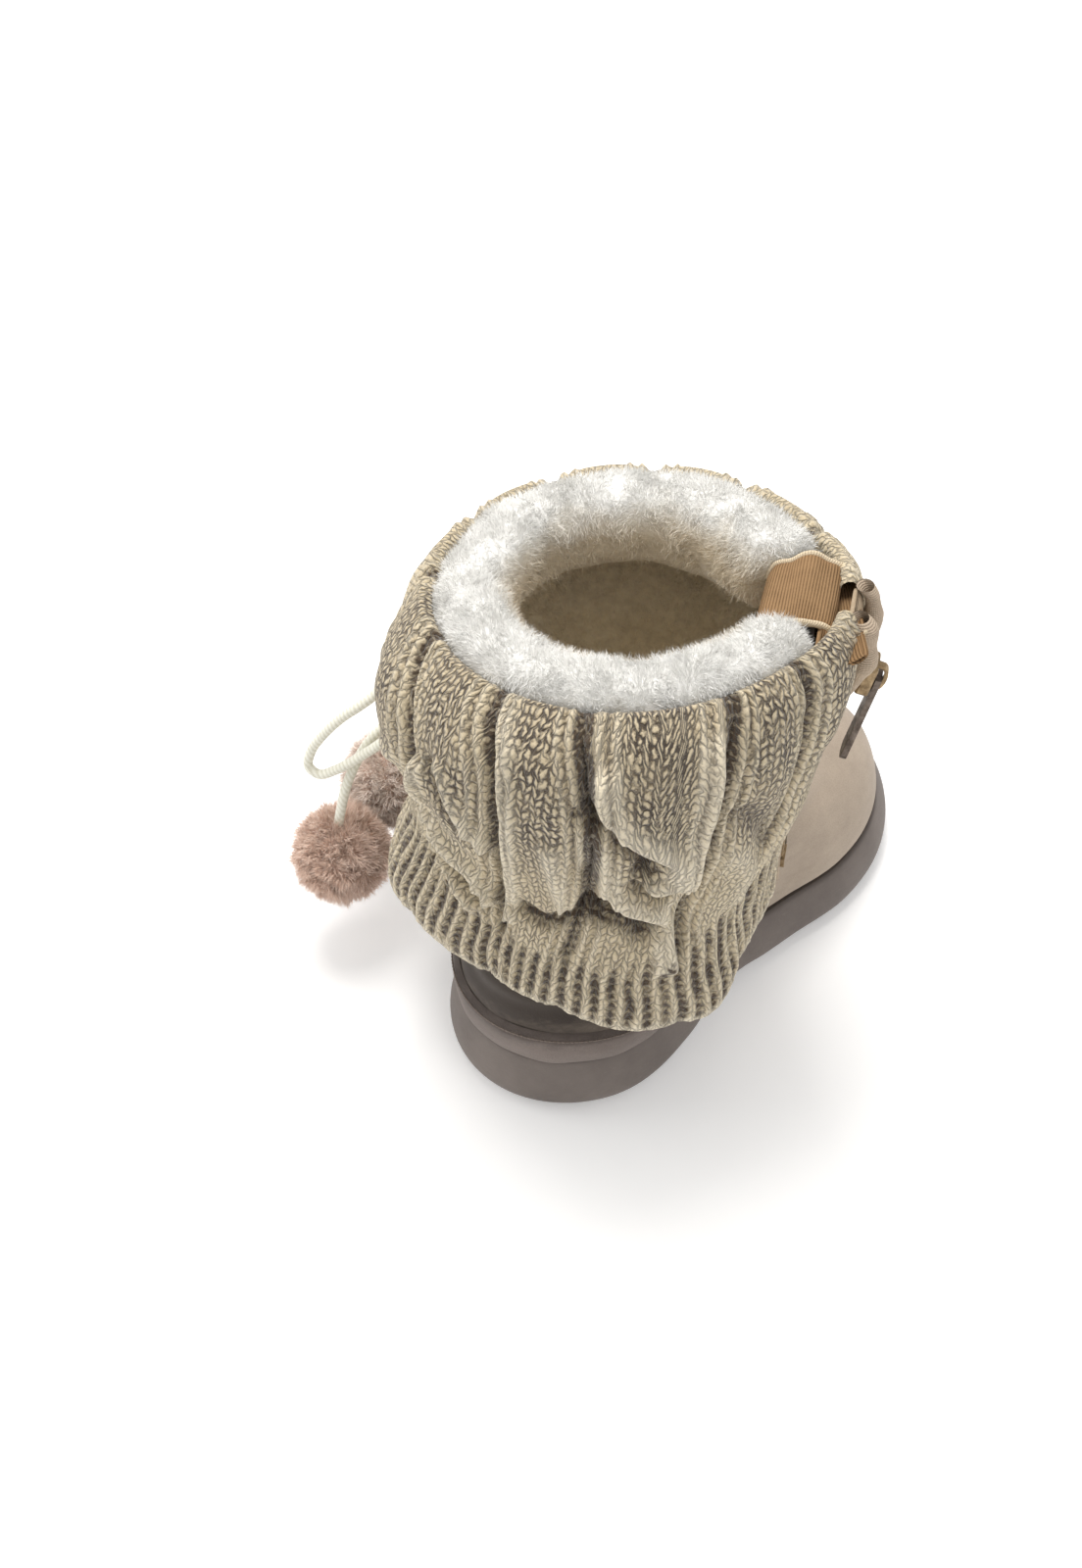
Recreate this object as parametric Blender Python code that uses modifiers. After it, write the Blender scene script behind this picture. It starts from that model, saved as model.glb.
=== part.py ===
"""Child's left winter boot: suede foot on a moulded sole, cable-knit shaft, plush collar, side zip, pom-pom bow.

All sizes are in metres. The toe points along +Y, the inner side with the zip is at +X, and the floor is z = 0.
"""

import math
from collections import namedtuple

import bmesh
import bpy
from mathutils import Matrix, Vector, noise

# Clearance between pieces that touch
CLEAR = 0.0003

# Sole
SOLE_LENGTH = 0.148
BALL_WIDTH = 0.066
HEEL_WIDTH = 0.057
SOLE_HEEL_HEIGHT = 0.0185
SOLE_TOE_HEIGHT = 0.013
TOE_SPRING = 0.005
TOE_TURN = -0.0016
ARCH_RISE = 0.0025
SIDE_BULGE = 0.0026
TREAD_EDGE = 0.0015
GROOVE_WIDTH = 0.002
GROOVE_DEPTH = 0.002
GROOVE_PITCH = 0.009
GROOVE_CHEVRON = 0.004
LEDGE_WIDTH = 0.0042
CUP_DEPTH = 0.005
INSOLE_THICKNESS = 0.0043

# Upper: foot, ankle and the tube inside the shaft
UPPER_WALL = 0.002
UPPER_INSET = 0.0015
HEEL_SET = 0.008
ANKLE_HEIGHT = 0.068
ANKLE_WIDTH = 0.066
ANKLE_DEPTH = 0.080
COLLAR_WIDTH = 0.084
COLLAR_DEPTH = 0.086
SHAFT_HEIGHT = 0.123
COLLAR_RISE_INNER = 0.130
COLLAR_DROP_FRONT = 0.035
COUNTER_THICKNESS = 0.0016
COUNTER_REACH = 0.36
# Rows of FOOT between which the counter lies, and the share by which its ends are lower than its middle
COUNTER_LOW_ROW = 0.12
COUNTER_HIGH_ROW = 2.05
COUNTER_SHOULDER = 0.75

# Knit shaft and plush collar
KNIT_WALL = 0.0035
KNIT_SWELL = 0.010
KNIT_PANELS = 12
KNIT_GROOVE = 0.004
HEM_HEIGHT = 0.046
HEM_WAVE = 0.017
FLEECE_HEIGHT = 0.021
FLEECE_THICKNESS = 0.0175
FLEECE_ABOVE_KNIT = 0.003

# Zip
ZIP_ANGLE = math.radians(30)
TAPE_WIDTH = 0.009
TAPE_THICKNESS = 0.001
TAPE_MARGIN = 0.0008
CHAIN_WIDTH = 0.0042
CHAIN_THICKNESS = 0.0016
CHAIN_STAND = 0.0003
CHAIN_START = 0.075
FACING_WIDTH = 0.0165
FACING_THICKNESS = 0.0014
FACING_DROP = 0.016
SLIDER_LENGTH = 0.009
SLIDER_WIDTH = 0.0068
SLIDER_THICKNESS = 0.0034
SLIDER_DROP = 0.0215
SLIDER_LEAN = math.radians(13)
BAIL_WIDTH = 0.0016
BAIL_THICKNESS = 0.0009
BAIL_LENGTH = 0.0064
PULL_LENGTH = 0.029
PULL_WIDTH = 0.0056
PULL_THICKNESS = 0.0014
PULL_BAR = 0.0014
STOP_LENGTH = 0.003

# Bow and pom-poms
CORD_DIAMETER = 0.0026
KNOT_RADIUS = 0.0036
KNOT_SINK = 0.0020
KNOT_HEIGHT = 0.086
KNOT_ANGLE = math.radians(182)
POM_RADIUS = 0.0120
POM_LOCK = 0.0011

Station = namedtuple("Station", "along medial lateral")
# Fullness of each side of the outline, as shares of the width there
OUTLINE = (
    Station(0.00, 0.777, 0.777),
    Station(0.12, 0.712, 0.712),
    Station(0.28, 0.553, 0.564),
    Station(0.42, 0.435, 0.495),
    Station(0.58, 0.452, 0.498),
    Station(0.72, 0.545, 0.563),
    Station(0.86, 0.621, 0.641),
    Station(1.00, 0.653, 0.609),
)

Bottom = namedtuple("Bottom", "along arch")
# Rise of the waist off the floor, as shares of ARCH_RISE
ARCH = (Bottom(0.0, 0), Bottom(0.30, 0), Bottom(0.36, 0.75), Bottom(0.41, 1), Bottom(0.46, 0.75), Bottom(0.52, 0), Bottom(1, 0))

FootRow = namedtuple("FootRow", "rise_back rise_front reach tuck full sole follow")
# Rings of the foot from the sole up to the ankle. Rises are shares of the height from sole to ankle, reach is a share of
# the way from the ankle's front to the toe, tuck a share of HEEL_SET, sole the share of the sole's outline in the ring
FOOT = (
    FootRow(0.000, 0.000, 1.000, 0.19, 1.00, 1.00, 1.00),
    FootRow(0.105, 0.100, 0.998, 0.10, 1.02, 1.00, 0.90),
    FootRow(0.230, 0.240, 0.950, 0.13, 0.99, 0.92, 0.65),
    FootRow(0.350, 0.360, 0.840, 0.24, 0.92, 0.70, 0.40),
    FootRow(0.460, 0.455, 0.670, 0.38, 0.85, 0.45, 0.18),
    FootRow(0.560, 0.540, 0.460, 0.52, 0.83, 0.25, 0.05),
    FootRow(0.665, 0.640, 0.260, 0.66, 0.86, 0.12, 0.00),
    FootRow(0.775, 0.755, 0.110, 0.80, 0.91, 0.05, 0.00),
    FootRow(0.890, 0.880, 0.030, 0.91, 0.96, 0.00, 0.00),
    FootRow(1.000, 1.000, 0.000, 1.00, 1.00, 0.00, 0.00),
)
SHAFT_RINGS = 4
RING_HALF = 16

KnitRow = namedtuple("KnitRow", "rise medial lateral back front corner tuck groove")
# Rings of the knit from hem to rolled top. Rise is a share of its height, the sides are shares of KNIT_SWELL beyond the
# closest fit round the tube, corner the extra share halfway between back and sides, tuck the share drawn in at the zip,
# groove a share of KNIT_GROOVE
KNIT = (
    KnitRow(0.000, 0.10, 1.50, 0.46, 0.14, 0.34, 0.12, 0.30),
    KnitRow(0.070, 0.08, 1.38, 0.40, 0.12, 0.32, 0.10, 0.40),
    KnitRow(0.170, 0.12, 1.02, 0.18, 0.08, 0.28, 0.08, 0.65),
    KnitRow(0.290, 0.30, 0.74, 0.02, 0.06, 0.18, 0.06, 0.75),
    KnitRow(0.420, 0.50, 0.62, 0.08, 0.05, 0.08, 0.12, 0.80),
    KnitRow(0.550, 0.50, 0.72, 0.40, 0.12, 0.08, 0.24, 0.95),
    KnitRow(0.675, 0.50, 0.80, 0.74, 0.22, 0.10, 0.26, 1.00),
    KnitRow(0.790, 0.54, 0.66, 0.84, 0.18, 0.10, 0.14, 1.00),
    KnitRow(0.890, 0.50, 0.40, 0.62, 0.04, 0.06, -0.04, 0.90),
    KnitRow(0.965, 0.26, 0.08, 0.10, -0.20, 0.00, -0.22, 0.55),
    KnitRow(1.000, -0.06, -0.15, -0.42, -0.48, 0.00, -0.30, 0.25),
)
TUCK_SPREAD = math.radians(48)
KNIT_STEPS = 5

HemPoint = namedtuple("HemPoint", "turn rise flare")
# The hem round the boot, by degrees from the inner side: rise is its height as a share of HEM_WAVE, for it climbs over
# the instep, and flare how far it stands out, as a share of KNIT_SWELL
HEM = (
    HemPoint(-180, -0.22, 0.00),
    HemPoint(-140, 0.00, 0.00),
    HemPoint(-100, 0.48, 0.00),
    HemPoint(-62, 0.42, 0.00),
    HemPoint(-36, 0.06, 0.50),
    HemPoint(-16, -0.24, 0.60),
    HemPoint(4, -0.10, 0.02),
    HemPoint(30, 0.16, 0.00),
    HemPoint(60, 0.76, 0.00),
    HemPoint(90, 1.00, 0.00),
    HemPoint(120, 0.76, 0.00),
    HemPoint(150, 0.08, 0.00),
    HemPoint(180, -0.22, 0.00),
)

Section = namedtuple("Section", "inward up")
# Section of the plush ring from its outer foot over the top, as shares of FLEECE_THICKNESS and FLEECE_HEIGHT
FLEECE = (
    Section(0.06, 0.00),
    Section(0.00, 0.12),
    Section(0.00, 0.66),
    Section(0.14, 0.89),
    Section(0.38, 1.00),
    Section(0.64, 0.98),
    Section(0.88, 0.82),
    Section(1.00, 0.52),
    Section(0.98, 0.20),
    Section(0.80, 0.00),
)
FLEECE_STEPS = 36

# Routes of the bow's cords, chosen by hand: loops out and back, ends down to the pom-poms
BACK_LOOP = (
    (-0.0595, 0.0360, 0.0890),
    (-0.0610, 0.0270, 0.0830),
    (-0.0680, 0.0195, 0.0745),
    (-0.0735, 0.0145, 0.0640),
    (-0.0730, 0.0130, 0.0570),
    (-0.0670, 0.0160, 0.0600),
    (-0.0610, 0.0205, 0.0660),
    (-0.0548, 0.0262, 0.0740),
    (-0.0555, 0.0335, 0.0790),
)
FRONT_LOOP = (
    (-0.0605, 0.0540, 0.0900),
    (-0.0650, 0.0640, 0.0860),
    (-0.0700, 0.0745, 0.0740),
    (-0.0690, 0.0790, 0.0640),
    (-0.0640, 0.0760, 0.0650),
    (-0.0600, 0.0680, 0.0740),
    (-0.0575, 0.0600, 0.0830),
)
BACK_END = (
    (-0.0575, 0.0440, 0.0760),
    (-0.0600, 0.0340, 0.0720),
    (-0.0628, 0.0245, 0.0660),
    (-0.0640, 0.0170, 0.0560),
    (-0.0645, 0.0130, 0.0480),
)
FRONT_END = (
    (-0.0570, 0.0530, 0.0760),
    (-0.0640, 0.0480, 0.0670),
    (-0.0690, 0.0400, 0.0580),
    (-0.0695, 0.0370, 0.0530),
)
BACK_POM = (-0.0645, 0.0127, 0.0320)
FRONT_POM = (-0.0695, 0.0365, 0.0370)


def clear_scene():
    for old in list(bpy.data.objects):
        bpy.data.objects.remove(old, do_unlink=True)


def collection(name):
    made = bpy.data.collections.new(name)
    bpy.context.scene.collection.children.link(made)
    return made


def material(name, colour, roughness, metallic=0.0):
    made = bpy.data.materials.new(name)
    made.use_nodes = True
    shader = made.node_tree.nodes["Principled BSDF"]
    shader.inputs["Base Color"].default_value = (*colour, 1)
    shader.inputs["Roughness"].default_value = roughness
    shader.inputs["Metallic"].default_value = metallic
    return made


def add_object(name, data, where, surface=None):
    made = bpy.data.objects.new(name, data)
    where.objects.link(made)
    if surface:
        data.materials.append(surface)
    return made


def mesh_from(bm, name, smooth=True):
    mesh = bpy.data.meshes.new(name)
    bm.to_mesh(mesh)
    bm.free()
    if smooth:
        mesh.shade_smooth()
        mesh.set_sharp_from_angle(angle=math.radians(40))
    return mesh


def hide_cutter(cutter):
    cutter.hide_render = True
    cutter.display_type = "WIRE"


def boolean(target, cutter, operation="DIFFERENCE"):
    modifier = target.modifiers.new(operation.title(), "BOOLEAN")
    modifier.operation = operation
    modifier.object = cutter
    modifier.solver = "EXACT"
    hide_cutter(cutter)


def blend(a, b, share):
    return a + (b - a) * share


def ease(share):
    share = min(max(share, 0.0), 1.0)
    return share * share * (3 - 2 * share)


def read(table, at, column):
    """Smooth curve through one column of a table, read at a value of its first column."""
    keys = [row[0] for row in table]
    values = [getattr(row, column) for row in table]
    last = len(table) - 1
    at = min(max(at, keys[0]), keys[-1])
    i = max(k for k in range(last) if keys[k] <= at)

    def slope(k):
        low, high = max(k - 1, 0), min(k + 1, last)
        return (values[high] - values[low]) / (keys[high] - keys[low])

    span = keys[i + 1] - keys[i]
    t = (at - keys[i]) / span
    rise = slope(i) * span * (t**3 - 2 * t**2 + t) + slope(i + 1) * span * (t**3 - t**2)
    return values[i] * (2 * t**3 - 3 * t**2 + 1) + values[i + 1] * (3 * t**2 - 2 * t**3) + rise


def local_width(along):
    return blend(HEEL_WIDTH, BALL_WIDTH, ease((along - 0.25) / 0.45))


def half_width(turn):
    """Signed half width of the sole's outline. Turn 0 is the heel, pi the toe, and positive turns run up the inner side."""
    along = (1 - math.cos(turn)) / 2
    side = "medial" if turn > 0 else "lateral"
    return read(OUTLINE, along, side) * local_width(along) * math.sin(turn)


def outline(inset):
    """The sole's outline in plan, drawn in by the given distance."""
    turns = [math.pi * k / RING_HALF for k in range(-RING_HALF, RING_HALF)]
    turns = turns[RING_HALF:] + turns[:RING_HALF]
    points = []
    for turn in turns:
        along = (1 - math.cos(turn)) / 2
        points.append(Vector((half_width(turn) + TOE_TURN * along**2, along * SOLE_LENGTH)))
    drawn = []
    for i, point in enumerate(points):
        edge = points[(i + 1) % len(points)] - points[i - 1]
        drawn.append(point + Vector((-edge.y, edge.x)).normalized() * inset)
    return drawn


def sole_bottom(y):
    along = min(max(y / SOLE_LENGTH, 0.0), 1.0)
    spring = TOE_SPRING * max(along - 0.7, 0.0) ** 2 / 0.3**2
    return spring + ARCH_RISE * min(max(read(ARCH, along, "arch"), 0.0), 1.0)


def sole_top(y):
    along = min(max(y / SOLE_LENGTH, 0.0), 1.0)
    spring = TOE_SPRING * max(along - 0.7, 0.0) ** 2 / 0.3**2
    return blend(SOLE_HEEL_HEIGHT, SOLE_TOE_HEIGHT, along) + spring


def loft(rings, closed=True, caps=True):
    """Surface through rings of equal count, first ring lowest. A closed ring runs heel, inner side, toe, outer side."""
    bm = bmesh.new()
    rows = [[bm.verts.new(point) for point in ring] for ring in rings]
    count = len(rings[0])
    for low, high in zip(rows, rows[1:]):
        for j in range(count if closed else count - 1):
            k = (j + 1) % count
            bm.faces.new((low[j], low[k], high[k], high[j]))
    if caps:
        for row, turned in ((rows[0], True), (rows[-1], False)):
            for i in range(count // 2):
                quad = [row[i], row[i + 1], row[-i - 1], row[-i]]
                quad = [v for n, v in enumerate(quad) if v not in quad[:n]]
                bm.faces.new(quad[::-1] if turned else quad)
    return bm


def tube_of_sections(sections):
    """Solid through closed sections set one after another, with a flat cap at each end."""
    bm = bmesh.new()
    rows = [[bm.verts.new(point) for point in section] for section in sections]
    count = len(sections[0])
    for a, b in zip(rows, rows[1:]):
        for j in range(count):
            k = (j + 1) % count
            bm.faces.new((a[j], a[k], b[k], b[j]))
    bm.faces.new(rows[0][::-1])
    bm.faces.new(rows[-1])
    bmesh.ops.recalc_face_normals(bm, faces=bm.faces)
    return bm


def band(path, width, inner, outer):
    """Flat band along a path of (point, outward, side), from inner to outer distance along outward."""
    sections = []
    for point, outward, side in path:
        left, right = point - side * width / 2, point + side * width / 2
        sections.append((left + outward * inner, right + outward * inner, right + outward * outer, left + outward * outer))
    return tube_of_sections(sections)


# Sole


def sole_ring(inset, share, drop=0.0):
    ring = []
    for point in outline(inset):
        low, high = sole_bottom(point.y), sole_top(point.y)
        ring.append(Vector((point.x, point.y, blend(low, high, share) - drop)))
    return ring


def groove(y, name, where):
    """Chevron cutter across the tread."""
    across = BALL_WIDTH
    bm = bmesh.new()
    corners = []
    for side in (-1, 0, 1):
        corners.append((side * across, y + GROOVE_WIDTH / 2 - abs(side) * GROOVE_CHEVRON * 2))
    for side in (1, 0, -1):
        corners.append((side * across, y - GROOVE_WIDTH / 2 - abs(side) * GROOVE_CHEVRON * 2))
    top = sole_bottom(y) + GROOVE_DEPTH
    face = bm.faces.new([bm.verts.new((x, yy, -GROOVE_DEPTH)) for x, yy in corners])
    raised = bmesh.ops.extrude_face_region(bm, geom=[face])
    for vert in (v for v in raised["geom"] if isinstance(v, bmesh.types.BMVert)):
        vert.co.z = top
    bmesh.ops.recalc_face_normals(bm, faces=bm.faces)
    return add_object(name, mesh_from(bm, name, smooth=False), where)


def build_sole(where, cutters, rubber):
    rings = [
        sole_ring(TREAD_EDGE, 0.0),
        sole_ring(TREAD_EDGE * 0.3, 0.07),
        sole_ring(-SIDE_BULGE, 0.30),
        sole_ring(-SIDE_BULGE * 0.6, 0.62),
        sole_ring(0.0004, 0.93),
        sole_ring(0.0010, 1.0),
        sole_ring(0.0010 + LEDGE_WIDTH, 1.0),
        sole_ring(0.0014 + LEDGE_WIDTH, 1.0, drop=CUP_DEPTH),
    ]
    sole = add_object("outsole", mesh_from(loft(rings), "outsole"), where, rubber)
    heel_end, ball_start = 0.29 * SOLE_LENGTH, 0.54 * SOLE_LENGTH
    places = []
    y = GROOVE_PITCH * 1.3
    while y < SOLE_LENGTH - GROOVE_PITCH:
        if y < heel_end or y > ball_start:
            places.append(y)
        y += GROOVE_PITCH
    for i, y in enumerate(places):
        boolean(sole, groove(y, f"groove_cutter_{i}", cutters))
    return sole


def build_insole(where, textile):
    inset = 0.0014 + LEDGE_WIDTH + CLEAR * 2
    low = sole_ring(inset, 1.0, drop=CUP_DEPTH - CLEAR)
    high = [point + Vector((0, 0, INSOLE_THICKNESS)) for point in low]
    return add_object("insole", mesh_from(loft([low, high]), "insole"), where, textile)


# Upper


def tube_core(z):
    """Centre and half sizes of the tube's outer face at a height: the knit and the collar fit round it."""
    share = ease((z - ANKLE_HEIGHT) / (SHAFT_HEIGHT - ANKLE_HEIGHT))
    depth = blend(ANKLE_DEPTH, COLLAR_DEPTH, share)
    centre = HEEL_SET + blend(ANKLE_DEPTH, COLLAR_DEPTH, share) / 2 + 0.0015 * share
    return Vector((0.001 * share, centre)), blend(ANKLE_WIDTH, COLLAR_WIDTH, share) / 2, depth / 2


def collar_lift(x, y, share):
    """The collar's plane climbs to the inner side and drops to the front."""
    centre = tube_core(SHAFT_HEIGHT)[0]
    return share * ((x - centre.x) * COLLAR_RISE_INNER - (y - centre.y) * COLLAR_DROP_FRONT)


def foot_row(level):
    """Columns of the FOOT table at a fractional row."""
    rows = [(n, *row) for n, row in enumerate(FOOT)]
    Level = namedtuple("Level", ("n", *FootRow._fields))
    rows = [Level(*row) for row in rows]
    return FootRow(*(read(rows, level, column) for column in FootRow._fields))


def upper_point(level, turn):
    """Point on the upper's outer face. Levels 0 to 9 are the foot, and those above it the tube."""
    along = (1 - math.cos(turn)) / 2
    top_level = len(FOOT) - 1
    if level > top_level:
        share = (level - top_level) / SHAFT_RINGS
        height = blend(ANKLE_HEIGHT, SHAFT_HEIGHT, share)
        centre, wide, deep = tube_core(height)
        x, y = centre.x + wide * math.sin(turn), centre.y - deep * math.cos(turn)
        return Vector((x, y, height + collar_lift(x, y, share)))
    row = foot_row(level)
    ankle_front = HEEL_SET + ANKLE_DEPTH
    toe = SOLE_LENGTH - UPPER_INSET
    back_y = HEEL_SET * row.tuck
    front_y = blend(ankle_front, toe, row.reach)
    low_back, low_front = sole_top(back_y) + CLEAR, sole_top(toe) + CLEAR
    y = blend(back_y, front_y, along)
    z = blend(blend(low_back, ANKLE_HEIGHT, row.rise_back), blend(low_front, ANKLE_HEIGHT, row.rise_front), along)
    sag = blend(low_back, low_front, along) - (sole_top(y) + CLEAR)
    sole_half = half_width(turn) - UPPER_INSET * math.sin(turn)
    round_half = ANKLE_WIDTH / 2 * math.sin(turn)
    x = row.full * blend(round_half, sole_half, row.sole)
    return Vector((x + TOE_TURN * along**2 * row.sole, y, z - sag * row.follow))


def upper_normal(level, turn):
    step = 0.01
    up = upper_point(level + step, turn) - upper_point(level, turn)
    side = upper_point(level, turn + step) - upper_point(level, turn - step)
    return side.cross(up).normalized()


def ring_turns():
    turns = [math.pi * k / RING_HALF for k in range(RING_HALF)]
    return turns + [math.pi * k / RING_HALF - math.pi for k in range(RING_HALF)]


def shell(name, surface, wall, where, look):
    made = add_object(name, mesh_from(surface, name), where, look)
    modifier = made.modifiers.new("Wall", "SOLIDIFY")
    modifier.thickness = wall
    modifier.offset = -1
    modifier.use_even_offset = False
    return made


def build_upper(where, cutters, suede):
    top = len(FOOT) - 1
    levels = [n / 2 for n in range(2 * top)] + [top + n for n in range(SHAFT_RINGS + 1)]
    rings = [[upper_point(level, turn) for turn in ring_turns()] for level in levels]
    upper = shell("upper", loft(rings, caps=False), UPPER_WALL, where, suede)
    # Slit behind the zip, from above the foot to the top of the tube
    path = []
    for k in range(9):
        height = blend(ANKLE_HEIGHT - 0.012, SHAFT_HEIGHT + COLLAR_WIDTH * COLLAR_RISE_INNER, k / 8)
        centre, wide, deep = tube_core(height)
        outward, side = zip_frame()
        spot = Vector((centre.x + wide * outward.x, centre.y + deep * outward.y, height))
        path.append((spot, outward, side))
    slit = add_object("slit_cutter", mesh_from(band(path, CHAIN_WIDTH, -0.012, 0.012), "slit"), cutters)
    boolean(upper, slit)
    return upper


def build_counter(where, suede):
    """Heel counter laid over the upper, standing off it as a step."""
    steps = 14
    rings = []
    for k in range(4):
        ring = []
        for j in range(-steps, steps + 1):
            share = j / steps
            turn = math.acos(1 - 2 * COUNTER_REACH) * share
            high = COUNTER_HIGH_ROW * (1 - COUNTER_SHOULDER * abs(share) ** 3)
            level = blend(COUNTER_LOW_ROW, high, k / 3)
            stand = CLEAR + COUNTER_THICKNESS
            ring.append(upper_point(level, turn) + upper_normal(level, turn) * stand)
        rings.append(ring)
    return shell("heel_counter", loft(rings, closed=False, caps=False), COUNTER_THICKNESS, where, suede)


# Knit shaft


def zip_frame():
    outward = Vector((math.cos(ZIP_ANGLE), math.sin(ZIP_ANGLE), 0))
    return outward, Vector((-outward.y, outward.x, 0))


def knit_top():
    return SHAFT_HEIGHT + FLEECE_HEIGHT - FLEECE_ABOVE_KNIT


def knit_point(rise, angle, groove_share=0.0, inward=0.0):
    """Point on the knit's outer face at a share of its height and an angle from the inner side."""
    height = blend(HEM_HEIGHT, knit_top(), rise)
    turn = (math.degrees(angle) + 180) % 360 - 180
    lift = HEM_WAVE * read(HEM, turn, "rise") * (1 - ease(rise / 0.45))
    centre, wide, deep = tube_core(height + lift)
    base = CLEAR + KNIT_WALL + KNIT_GROOVE - inward - groove_share * KNIT_GROOVE * read(KNIT, rise, "groove")
    side = "medial" if math.cos(angle) > 0 else "lateral"
    face = "front" if math.sin(angle) > 0 else "back"
    swell_x = read(KNIT, rise, side) * KNIT_SWELL
    swell_y = read(KNIT, rise, face) * KNIT_SWELL
    if math.sin(angle) < 0:
        base += read(KNIT, rise, "corner") * KNIT_SWELL * math.sin(2 * angle) ** 2
    base += read(HEM, turn, "flare") * KNIT_SWELL * (1 - ease(rise / 0.3))
    off_zip = (angle - ZIP_ANGLE + math.pi) % (2 * math.pi) - math.pi
    if abs(off_zip) < TUCK_SPREAD:
        base -= read(KNIT, rise, "tuck") * KNIT_SWELL * math.cos(off_zip / TUCK_SPREAD * math.pi / 2) ** 2
    x = centre.x + (wide + base + swell_x) * math.cos(angle)
    y = centre.y + (deep + base + swell_y) * math.sin(angle)
    return Vector((x, y, height + lift + collar_lift(x, y, ease((rise - 0.2) / 0.8))))


def edge_angles(point_at, middle, half):
    """Angles either side of the zip where a ring's point lies the given distance from the zip's middle plane."""
    _, side = zip_frame()
    found = []
    for way in (1, -1):
        low, high = 0.0, math.pi / 3
        for _ in range(30):
            mid = (low + high) / 2
            far = abs((point_at(ZIP_ANGLE + way * mid) - middle).dot(side))
            low, high = (mid, high) if far < half else (low, mid)
        found.append(ZIP_ANGLE + way * high)
    return found[0], found[1] + 2 * math.pi


def build_knit(where, wool):
    columns = KNIT_PANELS * KNIT_STEPS
    rings = []
    for row in KNIT:
        middle = knit_point(row.rise, ZIP_ANGLE)
        first, last = edge_angles(lambda angle: knit_point(row.rise, angle), middle, TAPE_WIDTH / 2 + TAPE_MARGIN)
        ring = []
        for j in range(columns + 1):
            share = j / columns
            angle = blend(first, last, share)
            panel = (share * KNIT_PANELS) % 1.0
            sunk = 1 - math.sqrt(max(math.sin(math.pi * panel), 0.0))
            if j in (0, columns):
                sunk = 0.35
            ring.append(knit_point(row.rise, angle, sunk))
        rings.append(ring)
    return shell("knit_shaft", loft(rings, closed=False, caps=False), KNIT_WALL, where, wool)


def fleece_point(angle, inward, height):
    edge = knit_point(1.0, angle, inward=KNIT_WALL * 0.75 + KNIT_GROOVE * 0.25 + CLEAR)
    centre = tube_core(SHAFT_HEIGHT)[0]
    out = Vector((edge.x - centre.x, edge.y - centre.y))
    out = out * (out.length - inward) / out.length
    x, y = centre.x + out.x, centre.y + out.y
    return Vector((x, y, height + collar_lift(x, y, 1.0)))


def build_fleece(where, plush):
    middle = tube_core(SHAFT_HEIGHT)[0].to_3d()
    inner = edge_angles(lambda angle: fleece_point(angle, FLEECE_THICKNESS, 0), middle, FACING_WIDTH / 2 + CLEAR)
    sections = []
    for j in range(FLEECE_STEPS + 1):
        angle = blend(*inner, j / FLEECE_STEPS)
        section = []
        for spot in FLEECE:
            height = SHAFT_HEIGHT + CLEAR + UPPER_WALL * 0.25 + spot.up * FLEECE_HEIGHT
            section.append(fleece_point(angle, spot.inward * FLEECE_THICKNESS, height))
        sections.append(section)
    return add_object("fleece_collar", mesh_from(tube_of_sections(sections), "fleece_collar"), where, plush)


# Zip


def zip_path(first, last, count, inward=0.0):
    outward, side = zip_frame()
    return [(knit_point(blend(first, last, k / count), ZIP_ANGLE, inward=inward), outward, side) for k in range(count + 1)]


def build_zip(where, cutters, looks):
    chain_in = CHAIN_THICKNESS - CHAIN_STAND
    tape = band(zip_path(0.03, 0.985, 16), TAPE_WIDTH, -chain_in - CLEAR - TAPE_THICKNESS, -chain_in - CLEAR)
    add_object("zip_tape", mesh_from(tape, "zip_tape"), where, looks["tape"])
    chain = band(zip_path(CHAIN_START, 0.955, 16), CHAIN_WIDTH, -chain_in, CHAIN_STAND)
    add_object("zip_chain", mesh_from(chain, "zip_chain"), where, looks["brass"])

    tall = knit_top() - HEM_HEIGHT
    stop_path = zip_path(CHAIN_START - (STOP_LENGTH + CLEAR) / tall, CHAIN_START - CLEAR / tall, 2)
    stop = band(stop_path, CHAIN_WIDTH * 1.25, -chain_in, CHAIN_STAND * 2)
    add_object("zip_stop", mesh_from(stop, "zip_stop"), where, looks["brass"])
    build_facing(where, looks["facing"])
    build_slider(where, cutters, looks)


def slider_frame():
    """Directions out of and up along the zip where the slider sits."""
    outward, _ = zip_frame()
    up = Vector((0, 0, 1))
    lean_in, lean_out = math.cos(SLIDER_LEAN), math.sin(SLIDER_LEAN)
    return outward * lean_in - up * lean_out, up * lean_in + outward * lean_out


def frame_matrix(place):
    """Local X across the zip, local Y out of it, local Z up along it."""
    _, side = zip_frame()
    normal, along = slider_frame()
    turned = Matrix((-side, normal, along)).transposed().to_4x4()
    return Matrix.Translation(place) @ turned


def box_mesh(name, size, centre=(0, 0, 0)):
    bm = bmesh.new()
    bmesh.ops.create_cube(bm, size=1)
    bmesh.ops.scale(bm, vec=Vector(size), verts=bm.verts)
    bmesh.ops.translate(bm, vec=Vector(centre), verts=bm.verts)
    return mesh_from(bm, name, smooth=False)


def round_edges(target, width, segments=2):
    modifier = target.modifiers.new("Rounded", "BEVEL")
    modifier.width = width
    modifier.segments = segments


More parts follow.
